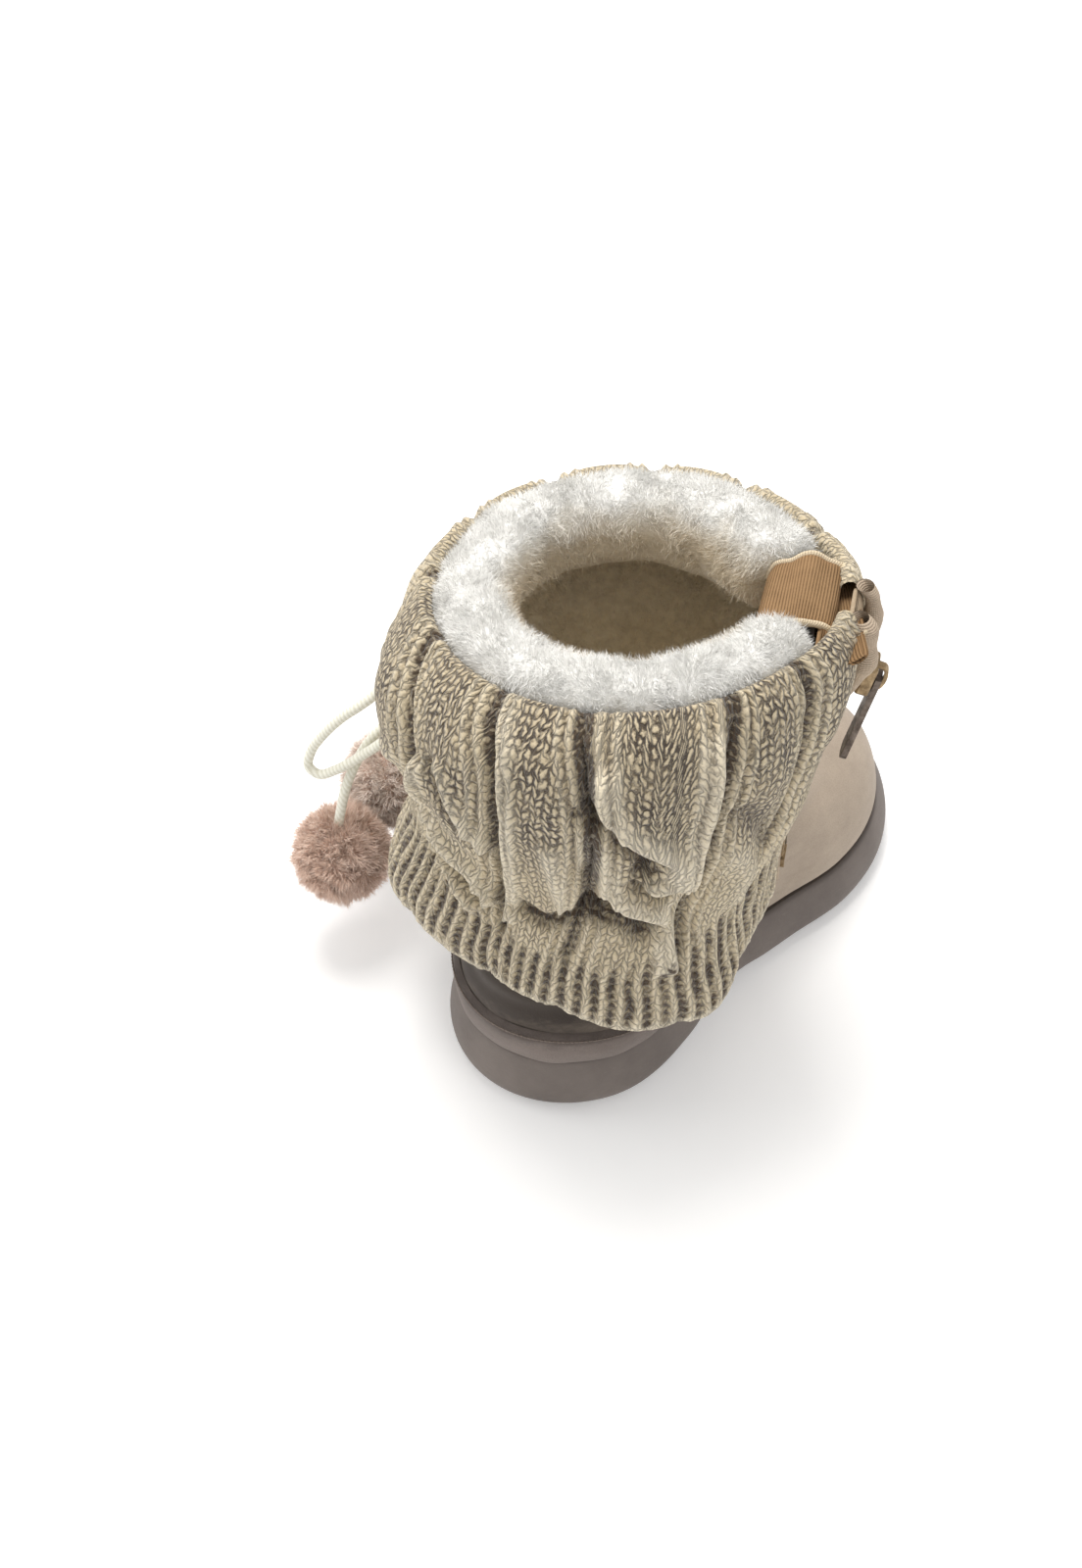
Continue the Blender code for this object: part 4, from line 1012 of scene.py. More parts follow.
def make_sole():
    count = 192
    outline, ways = fine_outline(count)
    side = [
        (TREAD_EDGE * 1.1, 0.0, 0.0),
        (TREAD_EDGE * 0.35, 0.05, 0.0),
        (-SIDE_BULGE * 0.75, 0.20, 0.0),
        (-SIDE_BULGE, 0.38, 0.0),
        (-SIDE_BULGE * 0.7, 0.62, 0.0),
        (-SIDE_BULGE * 0.15, 0.84, 0.0),
        (0.0006, 0.955, 0.0),
        (0.0014, 1.0, 0.0),
    ]
    rows = [sole_row(outline, ways, *spot) for spot in smooth_profile(side, 26)]
    rows.append(sole_row(outline, ways, 0.0010 + LEDGE_WIDTH, 1.0))
    rows.append(sole_row(outline, ways, 0.0014 + LEDGE_WIDTH, 1.0, CUP_DEPTH))
    bm = bmesh.new()
    verts = [[bm.verts.new(point) for point in row] for row in rows]
    for low, high in zip(verts, verts[1:]):
        for j in range(count):
            k = (j + 1) % count
            bm.faces.new((low[j], low[k], high[k], high[j]))
    for row, turned in ((verts[0], True), (verts[-1], False)):
        for i in range(count // 2):
            quad = [row[i], row[i + 1], row[-i - 1], row[-i]]
            quad = [v for n, v in enumerate(quad) if v not in quad[:n]]
            bm.faces.new(quad[::-1] if turned else quad)
    for vert in bm.verts:
        vert.co += BASE
    mesh = bpy.data.meshes.new("sole_moulded")
    bm.to_mesh(mesh)
    bm.free()
    sole = bpy.data.objects.new("sole_moulded", mesh)
    bpy.context.scene.collection.objects.link(sole)
    mesh.materials.append(rubber_look())

    # Chevron tread, cut in one pass
    cut = bmesh.new()
    heel_end, ball_start = 0.29 * SOLE_LENGTH, 0.54 * SOLE_LENGTH
    y = GROOVE_PITCH * 1.3
    while y < SOLE_LENGTH - GROOVE_PITCH:
        if y < heel_end or y > ball_start:
            corners = []
            for side_way in (-1, 0, 1):
                corners.append(
                    (side_way * BALL_WIDTH, y + GROOVE_WIDTH / 2 - abs(side_way) * GROOVE_CHEVRON * 2)
                )
            for side_way in (1, 0, -1):
                corners.append(
                    (side_way * BALL_WIDTH, y - GROOVE_WIDTH / 2 - abs(side_way) * GROOVE_CHEVRON * 2)
                )
            face = cut.faces.new(
                [cut.verts.new((x + BASE.x, yy + BASE.y, -GROOVE_DEPTH)) for x, yy in corners]
            )
            raised = bmesh.ops.extrude_face_region(cut, geom=[face])
            for vert in (v for v in raised["geom"] if isinstance(v, bmesh.types.BMVert)):
                vert.co.z = sole_bottom(y) + GROOVE_DEPTH
        y += GROOVE_PITCH
    bmesh.ops.recalc_face_normals(cut, faces=cut.faces)
    cutter_mesh = bpy.data.meshes.new("tread_cut")
    cut.to_mesh(cutter_mesh)
    cut.free()
    cutter = bpy.data.objects.new("tread_cut", cutter_mesh)
    bpy.context.scene.collection.objects.link(cutter)
    modifier = sole.modifiers.new("Tread", "BOOLEAN")
    modifier.object = cutter
    modifier.solver = "EXACT"
    bpy.context.view_layer.update()
    cut_mesh = bpy.data.meshes.new_from_object(
        sole.evaluated_get(bpy.context.evaluated_depsgraph_get())
    )
    sole.modifiers.clear()
    sole.data = cut_mesh
    bpy.data.objects.remove(cutter, do_unlink=True)
    cut_mesh.shade_smooth()
    cut_mesh.set_sharp_from_angle(angle=math.radians(35))
    # Top of the wall, shaded by the upper
    ledge = []
    for vert in cut_mesh.vertices:
        top = sole_top(vert.co.y - BASE.y)
        ledge.append(min(max((vert.co.z - top + 0.0009) / 0.0008, 0.0), 1.0))
    cut_mesh.attributes.new("ledge", "FLOAT", "POINT").data.foreach_set("value", ledge)
    settle(sole, "sole_rubber", "outsole")



def foot_grid(levels, turns, stand=0.0):
    rows = []
    for level in levels:
        row = []
        for turn in turns:
            point = upper_point(level, turn)
            if stand:
                point = point + upper_normal(level, turn) * stand
            row.append(point[:])
        rows.append(row)
    return np.array(rows)


def grid_normals(points, closed=False):
    if closed:
        wrapped = np.concatenate([points[:, -1:], points, points[:, :1]], axis=1)
        across = (wrapped[:, 2:] - wrapped[:, :-2]) / 2
    else:
        across = np.gradient(points, axis=1)
    up = np.gradient(points, axis=0)
    normal = np.cross(across, up)
    length = np.linalg.norm(normal, axis=2, keepdims=True)
    return normal / np.maximum(length, 1e-12)


Crease = namedtuple("Crease", "depth width path")
# Folds pressed into the foot: depth and width in metres, path of (turn in degrees, level).
# Minus depth is a trough
FOOT_CREASES = (
    Crease(-0.0007, 0.0030, ((60, 6.6), (95, 5.9), (125, 5.6), (150, 5.7))),
    Crease(0.0006, 0.0034, ((70, 6.0), (100, 5.2), (130, 4.9), (152, 5.0))),
    Crease(-0.0005, 0.0026, ((80, 5.0), (105, 4.3), (130, 4.0))),
    Crease(-0.0007, 0.0030, ((-60, 6.6), (-95, 5.9), (-125, 5.6), (-150, 5.7))),
    Crease(0.0006, 0.0034, ((-70, 6.0), (-100, 5.2), (-130, 4.9), (-152, 5.0))),
    Crease(-0.0005, 0.0024, ((-36, 3.4), (-16, 3.1), (6, 3.2), (30, 3.0))),
    Crease(-0.0008, 0.0022, ((-48, 4.6), (-22, 4.2), (4, 4.3), (26, 4.0), (44, 4.3))),
    Crease(0.0005, 0.0028, ((-44, 5.2), (-16, 4.8), (12, 4.9), (36, 4.7))),
)


def fold(points, normals, axes, creases, scales):
    """Moves the points along their normals by listed soft troughs and ridges."""
    moved = np.zeros(points.shape[:2])
    a, b = axes
    for crease in creases:
        path = np.array(crease.path, float)
        nearest = np.full(moved.shape, 1e9)
        for start, end in zip(path, path[1:]):
            du, dv = (end[0] - start[0]) * scales[0], (end[1] - start[1]) * scales[1]
            pu, pv = (a - start[0]) * scales[0], (b - start[1]) * scales[1]
            share = np.clip((pu * du + pv * dv) / (du * du + dv * dv), 0, 1)
            nearest = np.minimum(nearest, np.hypot(pu - share * du, pv - share * dv))
        moved += crease.depth * np.exp(-((nearest / crease.width) ** 2))
    return points + normals * moved[..., None], moved


def make_foot():
    # The foot's suede gets painted shade over the heel and a painted shadow below the knit's hem
    look = suede_look("foot_suede", (0.455, 0.372, 0.292), (0.345, 0.278, 0.214), heel=0.8, hem_shadow=0.92)
    turns = [2 * math.pi * k / 224 for k in range(224)]
    turns = [t - 2 * math.pi if t > math.pi else t for t in turns]
    top = len(FOOT) - 1
    levels = [top * k / 96 for k in range(97)] + [top + SHAFT_RINGS * k / 10 for k in range(1, 11)]
    points = foot_grid(levels, turns)
    normals = grid_normals(points, closed=True)
    a, b = np.meshgrid(np.degrees(turns), np.array(levels))
    points, moved = fold(points, normals, (a, b), FOOT_CREASES, (0.0007, 0.006))
    # Feather line: the upper turns in where it meets the sole
    turn_in = np.exp(-((b / 0.22) ** 2)) * 0.0008
    points = points - normals * turn_in[..., None]
    foot = mesh_object(
        "foot_upper", points, grid_faces(*points.shape[:2], closed=True), look, values={"fold": moved}
    )
    settle(foot, "suede", "upper")

    # Plush lining: the wall's inside, from the collar down to the footbed
    inner = foot_grid(
        [top * k / 48 for k in range(49)] + [top + SHAFT_RINGS * k / 16 for k in range(1, 17)],
        turns[::2],
    )
    inner_normals = grid_normals(inner, closed=True)
    inner = inner - inner_normals * UPPER_WALL
    bumps = fibre_noise(inner.reshape(-1, 3), 260).reshape(inner.shape[:2])
    inner = inner - inner_normals * (np.clip(bumps + 0.2, 0, 1) * 0.0012)[..., None]
    lining = mesh_object(
        "plush_lining",
        inner,
        grid_faces(*inner.shape[:2], closed=True)[:, ::-1],
        plush_look("lining_pile"),
        values={"sink": collar_sink(inner.reshape(-1, 3) + np.array(BASE))},
    )
    settle(lining, "white_plush")
    roots, ways = scatter(
        lining, LINING_FIBRES, 41, lambda centres: np.clip((centres[:, 2] - 0.078) / 0.03, 0.02, 1)
    )
    rng = np.random.default_rng(42)
    out = ways
    ways = out * 0.7 + rng.normal(size=ways.shape) * 0.6
    lengths = rng.uniform(0.0014, 0.0030, len(roots))
    held = {"sink": collar_sink(roots)}
    hair = strands(
        "lining_fibres",
        roots,
        ways,
        lengths,
        0.00018,
        lining.data.materials[0],
        43,
        0.5,
        0.2,
        held,
        out,
    )
    settle(hair, "white_plush")


def make_footbed():
    count = 128
    outline, ways = fine_outline(count)
    inset = 0.0014 + LEDGE_WIDTH + CLEAR * 2
    rings = []
    for extra in (0.0, 0.0005, 0.006, 0.012, 0.018, 0.024):
        drop = CUP_DEPTH - CLEAR - INSOLE_THICKNESS + (0.0006 if extra == 0 else 0.0)
        rings.append(sole_row(outline, ways, inset + extra, 1.0, drop))
    base = sole_row(outline, ways, inset, 1.0, CUP_DEPTH - CLEAR)
    points = np.array([base, *rings])
    faces = grid_faces(*points.shape[:2], closed=True)
    last = (len(points) - 1) * count
    extra_faces = []
    for i in range(1, count // 2 - 1):
        extra_faces.append([last + i, last + i + 1, last + count - i - 1, last + count - i])
    made = mesh_object(
        "footbed",
        points,
        np.array([*faces.tolist(), *extra_faces]),
        pile_look("footbed_pile", (0.72, 0.62, 0.48), (0.52, 0.43, 0.31), 300.0, 0.0010),
    )
    return settle(made, "insole_textile", "insole")


def make_counter():
    # The counter's suede is painted much darker than the foot's, a painted shade over the heel, and gets
    # the painted shadow below the knit's hem
    look = suede_look("counter_suede", (0.205, 0.167, 0.147), (0.145, 0.117, 0.102), 1.3, hem_shadow=0.88)
    wide, tall = 120, 34
    rows = []
    for k in range(tall + 1):
        share = k / tall
        row = []
        for j in range(-wide, wide + 1):
            spread = j / wide
            turn = math.acos(1 - 2 * COUNTER_REACH) * spread
            high = COUNTER_HIGH_ROW * (1 - COUNTER_SHOULDER * abs(spread) ** 3)
            level = blend(COUNTER_LOW_ROW, high, share)
            edge = min(
                1.0, (1 - share) * tall / 7.0, (1 - abs(spread)) * wide / 9.0, share * tall / 3.0 + 0.30
            )
            stand = CLEAR * 0.4 + COUNTER_THICKNESS * max(edge, 0.0) ** 0.8
            row.append((upper_point(level, turn) + upper_normal(level, turn) * stand)[:])
        rows.append(row)
    points = np.array(rows)
    normals = grid_normals(points)
    ripple = fibre_noise(points.reshape(-1, 3), 120, 3.0).reshape(points.shape[:2])
    points = points + normals * (ripple * 0.00035)[..., None]
    made = mesh_object("heel_counter_suede", points, grid_faces(*points.shape[:2]), look)
    settle(made, "suede", "heel_counter")

    # Row of stitches just inside the counter's upper edge
    stitches = []
    for j in range(-54, 55):
        spread = j / 58
        turn = math.acos(1 - 2 * COUNTER_REACH) * spread
        high = COUNTER_HIGH_ROW * (1 - COUNTER_SHOULDER * abs(spread) ** 3)
        level = high * 0.90
        point = upper_point(level, turn) + upper_normal(level, turn) * (
            CLEAR + COUNTER_THICKNESS + 0.00005
        )
        ahead = upper_point(level, turn + 0.01)
        stitches.append(
            (point, (ahead - upper_point(level, turn)).normalized(), upper_normal(level, turn))
        )
    thread_row("counter_stitches", stitches, 0.0013, 0.00028, (0.20, 0.16, 0.135), "suede")


def thread_row(name, places, length, radius, colour, slot):
    """Row of raised stitches, each a short rounded bead of thread."""
    points, faces = [], []
    for point, way, out in places:
        side = way.cross(out).normalized()
        base = len(points)
        for k in range(5):
            along = (k / 4 - 0.5) * length
            swell = math.sin(math.pi * (k + 0.35) / 4.7)
            for m in range(5):
                turn = 2 * math.pi * m / 5
                around = side * math.cos(turn) + out * math.sin(turn)
                points.append((point + way * along + around * radius * swell)[:])
        for k in range(4):
            for m in range(5):
                n = (m + 1) % 5
                faces.append(
                    (base + k * 5 + m, base + k * 5 + n, base + k * 5 + 5 + n, base + k * 5 + 5 + m)
                )
    look, tree, shader = new_look(name + "_thread")
    fuzz = noise_of(tree, place_of(tree), 2500, 3, 0.7)
    tone = mix(tree, span(tree, fuzz, 0.3, 0.7), times(colour, 0.7), times(colour, 1.2))
    tree.links.new(tone, shader.inputs["Base Color"])
    shader.inputs["Roughness"].default_value = 0.85
    bump(tree, shader, fuzz, 0.0001, 0.5)
    return settle(mesh_object(name, points, faces, look), slot)


# Knit


def density_angles(first, last, count):
    """Angles from first to last, closer together over the back, where the camera looks."""
    fine = np.linspace(first, last, 2000)
    middle = math.radians(-55 + 360)
    weight = 0.75 + 1.15 * np.exp(-(((fine - middle) / math.radians(62)) ** 4))
    total = np.concatenate([[0], np.cumsum((weight[1:] + weight[:-1]) / 2)])
    return np.interp(np.linspace(0, total[-1], count), total, fine)


# Grooves between the knit's panels: (rise, degrees) from the hem to the top, listed one by one over the
# back
GROOVES = (
    (
        (0.0, 360 - 27),
        (0.08, 360 - 28),
        (0.23, 360 - 27),
        (0.35, 360 - 29),
        (0.46, 360 - 27),
        (0.60, 360 - 27),
        (0.72, 360 - 27),
        (0.87, 360 - 25),
        (1.0, 360 - 23),
    ),
    (
        (0.0, 360 - 60),
        (0.20, 360 - 60),
        (0.35, 360 - 59),
        (0.48, 360 - 57),
        (0.66, 360 - 55),
        (0.79, 360 - 56),
        (0.91, 360 - 59),
        (1.0, 360 - 63),
    ),
    (
        (0.0, 360 - 84),
        (0.21, 360 - 82),
        (0.36, 360 - 83),
        (0.58, 360 - 81),
        (0.75, 360 - 79),
        (0.87, 360 - 80),
        (1.0, 360 - 87),
    ),
    ((0.0, 360 - 116), (0.5, 360 - 112), (0.80, 360 - 108), (0.90, 360 - 113), (1.0, 360 - 120)),
    ((0.0, 360 - 146), (0.5, 360 - 148), (1.0, 360 - 150)),
    ((0.0, 180), (0.5, 182), (1.0, 180)),
    ((0.0, 151), (0.5, 150), (1.0, 152)),
    ((0.0, 121), (0.5, 123), (1.0, 121)),
    ((0.0, 92), (0.5, 91), (1.0, 93)),
    ((0.0, 62), (0.5, 63), (1.0, 62)),
)

# Folds of the slouching knit: depth and width in metres, path of (degrees, rise)
KNIT_FOLDS = (
    Crease(
        0.0043,
        0.0026,
        ((-54, 0.89), (-53, 0.82), (-48, 0.745), (-42, 0.70), (-36, 0.63), (-35, 0.56), (-41, 0.54)),
    ),
    Crease(-0.0046, 0.0023, ((-57, 0.80), (-52, 0.735), (-46, 0.675), (-41, 0.625), (-43, 0.59))),
    Crease(
        0.0049,
        0.0026,
        ((-54, 0.72), (-54, 0.64), (-52, 0.55), (-47, 0.49), (-39, 0.42), (-33, 0.32), (-31, 0.20)),
    ),
    Crease(-0.0041, 0.0023, ((-35, 0.48), (-40, 0.485), (-45, 0.53))),
    Crease(-0.0070, 0.0037, ((-54, 0.40), (-48, 0.405), (-41, 0.365), (-38, 0.33))),
    Crease(
        0.0041, 0.0025, ((-29, 0.93), (-29, 0.86), (-29, 0.74), (-31, 0.65), (-31, 0.52), (-35, 0.47))
    ),
    Crease(
        0.0030, 0.0019, ((-83, 0.99), (-78, 0.93), (-77, 0.85), (-75, 0.75), (-77, 0.58), (-79, 0.30))
    ),
    Crease(-0.0030, 0.0026, ((-76, 0.36), (-68, 0.33), (-60, 0.37))),
    Crease(0.0024, 0.0021, ((-65, 0.68), (-64, 0.55), (-63, 0.42))),
    Crease(0.0035, 0.0019, ((-104, 0.76), (-110, 0.56), (-104, 0.46), (-92, 0.42), (-86, 0.32))),
    Crease(0.0032, 0.0018, ((-95, 0.82), (-90, 0.72), (-86, 0.64), (-84, 0.58))),
    Crease(-0.0041, 0.0025, ((-97, 0.80), (-92, 0.66), (-88, 0.54))),
    Crease(-0.0035, 0.0023, ((-112, 0.44), (-100, 0.36), (-90, 0.28))),
    Crease(0.0022, 0.0024, ((-118, 0.42), (-104, 0.34), (-94, 0.24))),
    Crease(-0.0018, 0.0030, ((-20, 0.70), (-12, 0.60), (-6, 0.48))),
    Crease(0.0016, 0.0034, ((-20, 0.55), (-12, 0.46), (-8, 0.30))),
    Crease(-0.0022, 0.0034, ((-150, 0.50), (-135, 0.44), (-122, 0.48))),
    Crease(0.0026, 0.0036, ((-160, 0.62), (-142, 0.56), (-126, 0.60))),
    Crease(-0.0024, 0.0036, ((165, 0.48), (145, 0.40), (125, 0.46))),
    Crease(0.0026, 0.0038, ((170, 0.60), (148, 0.53), (126, 0.58))),
    Crease(-0.0024, 0.0034, ((112, 0.52), (92, 0.44), (70, 0.50))),
    Crease(0.0024, 0.0036, ((110, 0.64), (90, 0.57), (68, 0.62))),
    Crease(-0.0018, 0.0030, ((60, 0.40), (48, 0.36), (42, 0.30))),
)


def groove_share(angles, rises):
    """Place across a panel as a share of its width: 0 and 1 at its grooves and 0.5 at its middle."""
    lines = [np.full_like(angles, math.radians(360 + ZIP_DEGREES - EDGE_DEGREES))]
    for path in GROOVES:
        at, value = zip(*path)
        lines.append(np.radians(np.interp(rises, at, value)))
    lines.append(np.full_like(angles, math.radians(ZIP_DEGREES + EDGE_DEGREES)))
    lines.insert(1, np.full_like(angles, math.radians(358)))
    lines = np.sort(np.stack(lines), axis=0)
    share = np.zeros_like(angles)
    for low, high in zip(lines, lines[1:]):
        inside = (angles >= low) & (angles <= high)
        share = np.where(inside, (angles - low) / np.maximum(high - low, 1e-6), share)
    return share


# Middle of the zip and half the opening in the knit beside it
ZIP_DEGREES = 30.0
EDGE_DEGREES = 6.0
# Mesh of the knit, and its ribs and stitches
KNIT_COLUMNS = 452
KNIT_ROWS = 176
RIB_DEGREES = 4.6
STITCH_DEGREES = 3.3
STITCH_HEIGHT = 0.0025
# Half width of a groove and spacing of the stitch columns beside it, as shares of a panel
GROOVE_HALF = 0.075
COLUMN_PITCH = 0.115


def field_noise(angles, rises, turn_scale, rise_scale, seed):
    """Noise over the knit, by angle and rise."""
    places = zip(angles.ravel(), rises.ravel())
    values = [noise.noise(Vector((a * turn_scale, r * rise_scale, seed))) for a, r in places]
    return np.array(values).reshape(angles.shape)


def make_knit():
    columns, tall = KNIT_COLUMNS, KNIT_ROWS
    rises = np.linspace(0, 1, tall)
    points = np.zeros((tall, columns, 3))
    angles = np.zeros((tall, columns))
    for i, rise in enumerate(rises):
        middle = knit_point(rise, ZIP_ANGLE)
        first, last = edge_angles(
            lambda angle: knit_point(rise, angle), middle, TAPE_WIDTH / 2 + TAPE_MARGIN
        )
        angles[i] = density_angles(first, last, columns)
        for j, angle in enumerate(angles[i]):
            points[i, j] = knit_point(rise, angle)
    height = np.repeat(rises[:, None], columns, axis=1)
    normals = grid_normals(points)
    share = groove_share(angles, height)
    depth = np.interp(height, [row.rise for row in KNIT], [row.groove for row in KNIT])
    bulge = np.clip(np.sin(np.pi * share), 0, 1) ** 0.34
    near = np.minimum(share, 1 - share)
    ragged = field_noise(angles, height, 9.0, 21.0, 7.0)
    cut = np.clip(1 - near / (GROOVE_HALF + 0.035 * ragged), 0, 1) ** 0.6
    # Columns of stitches stand at both sides of each groove
    beside = np.clip((0.30 - near) / 0.06, 0, 1) * np.clip(near / 0.05, 0, 1)
    columns_out = beside * np.cos((near - 0.12) / COLUMN_PITCH * 2 * np.pi)
    high = np.clip((height - 0.45) / 0.25, 0, 1)
    sunk = KNIT_GROOVE * (1.35 + 0.45 * high) * depth * (1 - bulge)
    edge = np.minimum(np.arange(columns), np.arange(columns)[::-1])[None, :]
    sunk = sunk * np.clip(edge / 6, 0.35, 1)

    # Ribs of the hem
    around = np.degrees(angles)
    rib_share = np.clip((0.30 - height + 0.07 * np.sin(np.radians(around * 2.1))) / 0.10, 0, 1)
    rib_share = rib_share * rib_share * (3 - 2 * rib_share)
    rib_share = rib_share * np.clip(0.35 + height / 0.05, 0, 1)
    sway = field_noise(angles, height, 3.0, 9.0, 11.0)
    lane = np.radians((around + sway * 1.6) * 360 / RIB_DEGREES)
    rib = (0.5 + 0.5 * np.cos(lane))
    sunk = sunk * (1 - 0.6 * rib_share)
    cut = cut * (1 - rib_share) * np.clip(edge / 6, 0, 1)
    columns_out = columns_out * (1 - rib_share)
    relief = rib_share * (rib**0.8 - 0.7) * 0.0013 + columns_out * 0.0006 - cut * 0.0010
    turned = (around + 180) % 360 - 180
    shaped, folds = fold(points, normals, (turned, height), KNIT_FOLDS, (0.00082, 0.095))
    wrinkle = field_noise(angles, height, 3.2, 5.5, 0.0) + 0.5 * field_noise(
        angles, height, 8.5, 13.0, 4.0
    )
    calm = np.clip(edge / 14, 0, 1) * np.clip((1 - height) / 0.12, 0, 1)
    shaped = points + normals * (
        (folds + wrinkle * 0.0008) * calm - sunk + relief * np.clip(height / 0.02, 0.3, 1)
    )[..., None]

    # Lips turned in at the hem and at the top
    hem = []
    for inward, up in (
        (0.0007, -0.0005), (0.0020, 0.0001), (0.0034, 0.0016), (0.0040, 0.0050), (0.0042, 0.0100)
    ):
        row = shaped[0] - normals[0] * inward
        row[:, 2] += up
        hem.append(row)
    top = []
    for inward, up in (
        (0.0008, 0.0006), (0.0020, 0.0006), (0.0032, -0.0004), (0.0037, -0.0026), (0.0037, -0.0060)
    ):
        flat = points[-1].copy()
        centre = tube_core(SHAFT_HEIGHT)[0]
        way = flat[:, :2] - np.array(centre)
        way /= np.linalg.norm(way, axis=1, keepdims=True)
        row = shaped[-1].copy()
        row[:, :2] -= way * inward
        row[:, 2] += up
        top.append(row)
    full = np.concatenate([np.array(hem[::-1]), shaped, np.array(top)])
    rows = full.shape[0]

    # Stitch coordinates: columns and rows of the knitting
    arc = np.cumsum(np.linalg.norm(np.diff(full, axis=0), axis=2), axis=0)
    arc = np.concatenate([np.zeros((1, columns)), arc])
    u = np.repeat((np.degrees(angles[tall // 2]) / STITCH_DEGREES)[None, :], rows, axis=0)
    v = arc / STITCH_HEIGHT
    # Painted shade for the grooves, fold troughs, between the hem's ribs and beside the stitch columns,
    # stronger higher up
    deep = cut * (0.55 + 0.65 * high) + np.clip(-folds / 0.0034, 0, 1) * 0.8
    deep = deep + rib_share * (1 - rib) ** 1.1 * (0.80 + 0.75 * ragged)
    deep = deep + np.clip(-columns_out, 0, 1) * (0.16 + 0.22 * high) + (sunk / KNIT_GROOVE) * 0.10
    deep = np.clip(deep, 0, 1)
    # Painted highlight on raised fold ridges, rib tops, stitch columns and the hem's lower edge
    crest_highlight = np.clip(folds / 0.0030, 0, 1) + rib_share * rib**4 * 0.45
    crest_highlight = crest_highlight + np.clip((0.035 - height) / 0.03, 0, 1) * 0.9
    crest_highlight = crest_highlight + np.clip(columns_out, 0, 1) * 0.55
    # The painted shade is weaker on the far side than on the back, so the far side is paler
    shown = np.clip(0.55 + 1.2 * np.cos(angles - math.radians(-62)), 0, 1)
    deep = deep * (0.55 + 0.45 * shown)
    # Painted shade in the open middles of the panels, stronger higher up and on the back
    open_knit_shade = np.clip(np.sin(np.pi * share), 0, 1) * (1 - rib_share)
    open_knit_shade = open_knit_shade * (0.50 + 0.45 * high) * (0.25 + 0.75 * shown)
    pad = lambda value: np.concatenate(
        [np.repeat(value[:1], 5, axis=0), value, np.repeat(value[-1:], 5, axis=0)]
    )
    deep, crest_highlight = pad(deep), pad(np.clip(crest_highlight, 0, 1))
    made = mesh_object(
        "knit_cover",
        full,
        grid_faces(rows, columns),
        knit_look(),
        values={"hollow_shade": deep, "crest_highlight": crest_highlight, "middle": pad(open_knit_shade)},
        uv=np.stack([u, v], -1),
    )
    settle(made, "oatmeal_wool", "knit_shaft")
    return made


# Plush collar


def make_fleece():
    middle = tube_core(SHAFT_HEIGHT)[0].to_3d()
    inner = edge_angles(
        lambda angle: fleece_point(angle, FLEECE_THICKNESS, 0), middle, FACING_WIDTH / 2 + CLEAR
    )
    steps, around = 44, 300
    rows = []
    table = [namedtuple("Spot", "at inward up")(n, *spot) for n, spot in enumerate(FLEECE)]
    for k in range(steps + 1):
        at = k / steps * (len(FLEECE) - 1)
        inward, up = read(table, at, "inward"), read(table, at, "up")
        row = []
        for j in range(around + 1):
            angle = blend(*inner, j / around)
            height = SHAFT_HEIGHT + CLEAR + UPPER_WALL * 0.25 + up * FLEECE_HEIGHT
            row.append(fleece_point(angle, inward * FLEECE_THICKNESS, height)[:])
        rows.append(row)
    points = np.array(rows)
    normals = grid_normals(points)
    flat = points.reshape(-1, 3)
    tufts = fibre_noise(flat, 330, 1.0) * 0.0003 + fibre_noise(flat, 110, 5.0) * 0.0008
    side = np.minimum(np.arange(around + 1), np.arange(around + 1)[::-1])
    points = points + normals * (tufts.reshape(points.shape[:2]) * np.clip(side / 8, 0.4, 1))[..., None]
    core = points.mean(0, keepdims=True)
    round_off = np.sqrt(np.clip(1 - (1 - np.clip(side / 9, 0, 1)) ** 2, 0.06, 1))
    points = core + (points - core) * round_off[None, :, None]
    look = plush_look("collar_pile", 0.0009)
    sink = collar_sink(points.reshape(-1, 3) + np.array(BASE))
    collar = mesh_object(
        "plush_collar", points, grid_faces(*points.shape[:2]), look, values={"sink": sink}
    )
    settle(collar, "white_plush", "fleece_collar")

    # End caps beside the zip
    for name, column in (("plush_end_a", 0), ("plush_end_b", -1)):
        ring = points[:, column]
        core = ring.mean(0)
        cap = np.array([ring, core + (ring - core) * 0.5, np.repeat(core[None], len(ring), 0)])
        if column == -1:
            cap = cap[::-1]
        settle(mesh_object(name, cap, grid_faces(*cap.shape[:2]), look), "white_plush")

    def showing(centres):
        high = centres[:, 2] - collar_height(centres)
        return np.clip((high - 0.004) / 0.006, 0.02, 1)

    roots, out = scatter(collar, COLLAR_FIBRES, 11, showing)
    rng = np.random.default_rng(12)
    flow = np.stack([fibre_noise(roots, 150, s) for s in (1.0, 2.0, 3.0)], -1) * 1.3
    ways = out * 0.62 + flow + rng.normal(size=out.shape) * 0.38
    lengths = rng.uniform(0.0014, 0.0030, len(roots))
    held = {"sink": collar_sink(roots)}
    fur = strands("collar_fibres", roots, ways, lengths, 0.00015, look, 13, 0.4, values=held, out=out)
    settle(fur, "white_plush")


def collar_height(points):
    """Height of the collar's foot below these points."""
    centre = tube_core(SHAFT_HEIGHT)[0]
    x, y = points[:, 0] - BASE.x, points[:, 1] - BASE.y
    return SHAFT_HEIGHT + (x - centre.x) * COLLAR_RISE_INNER - (y - centre.y) * COLLAR_DROP_FRONT


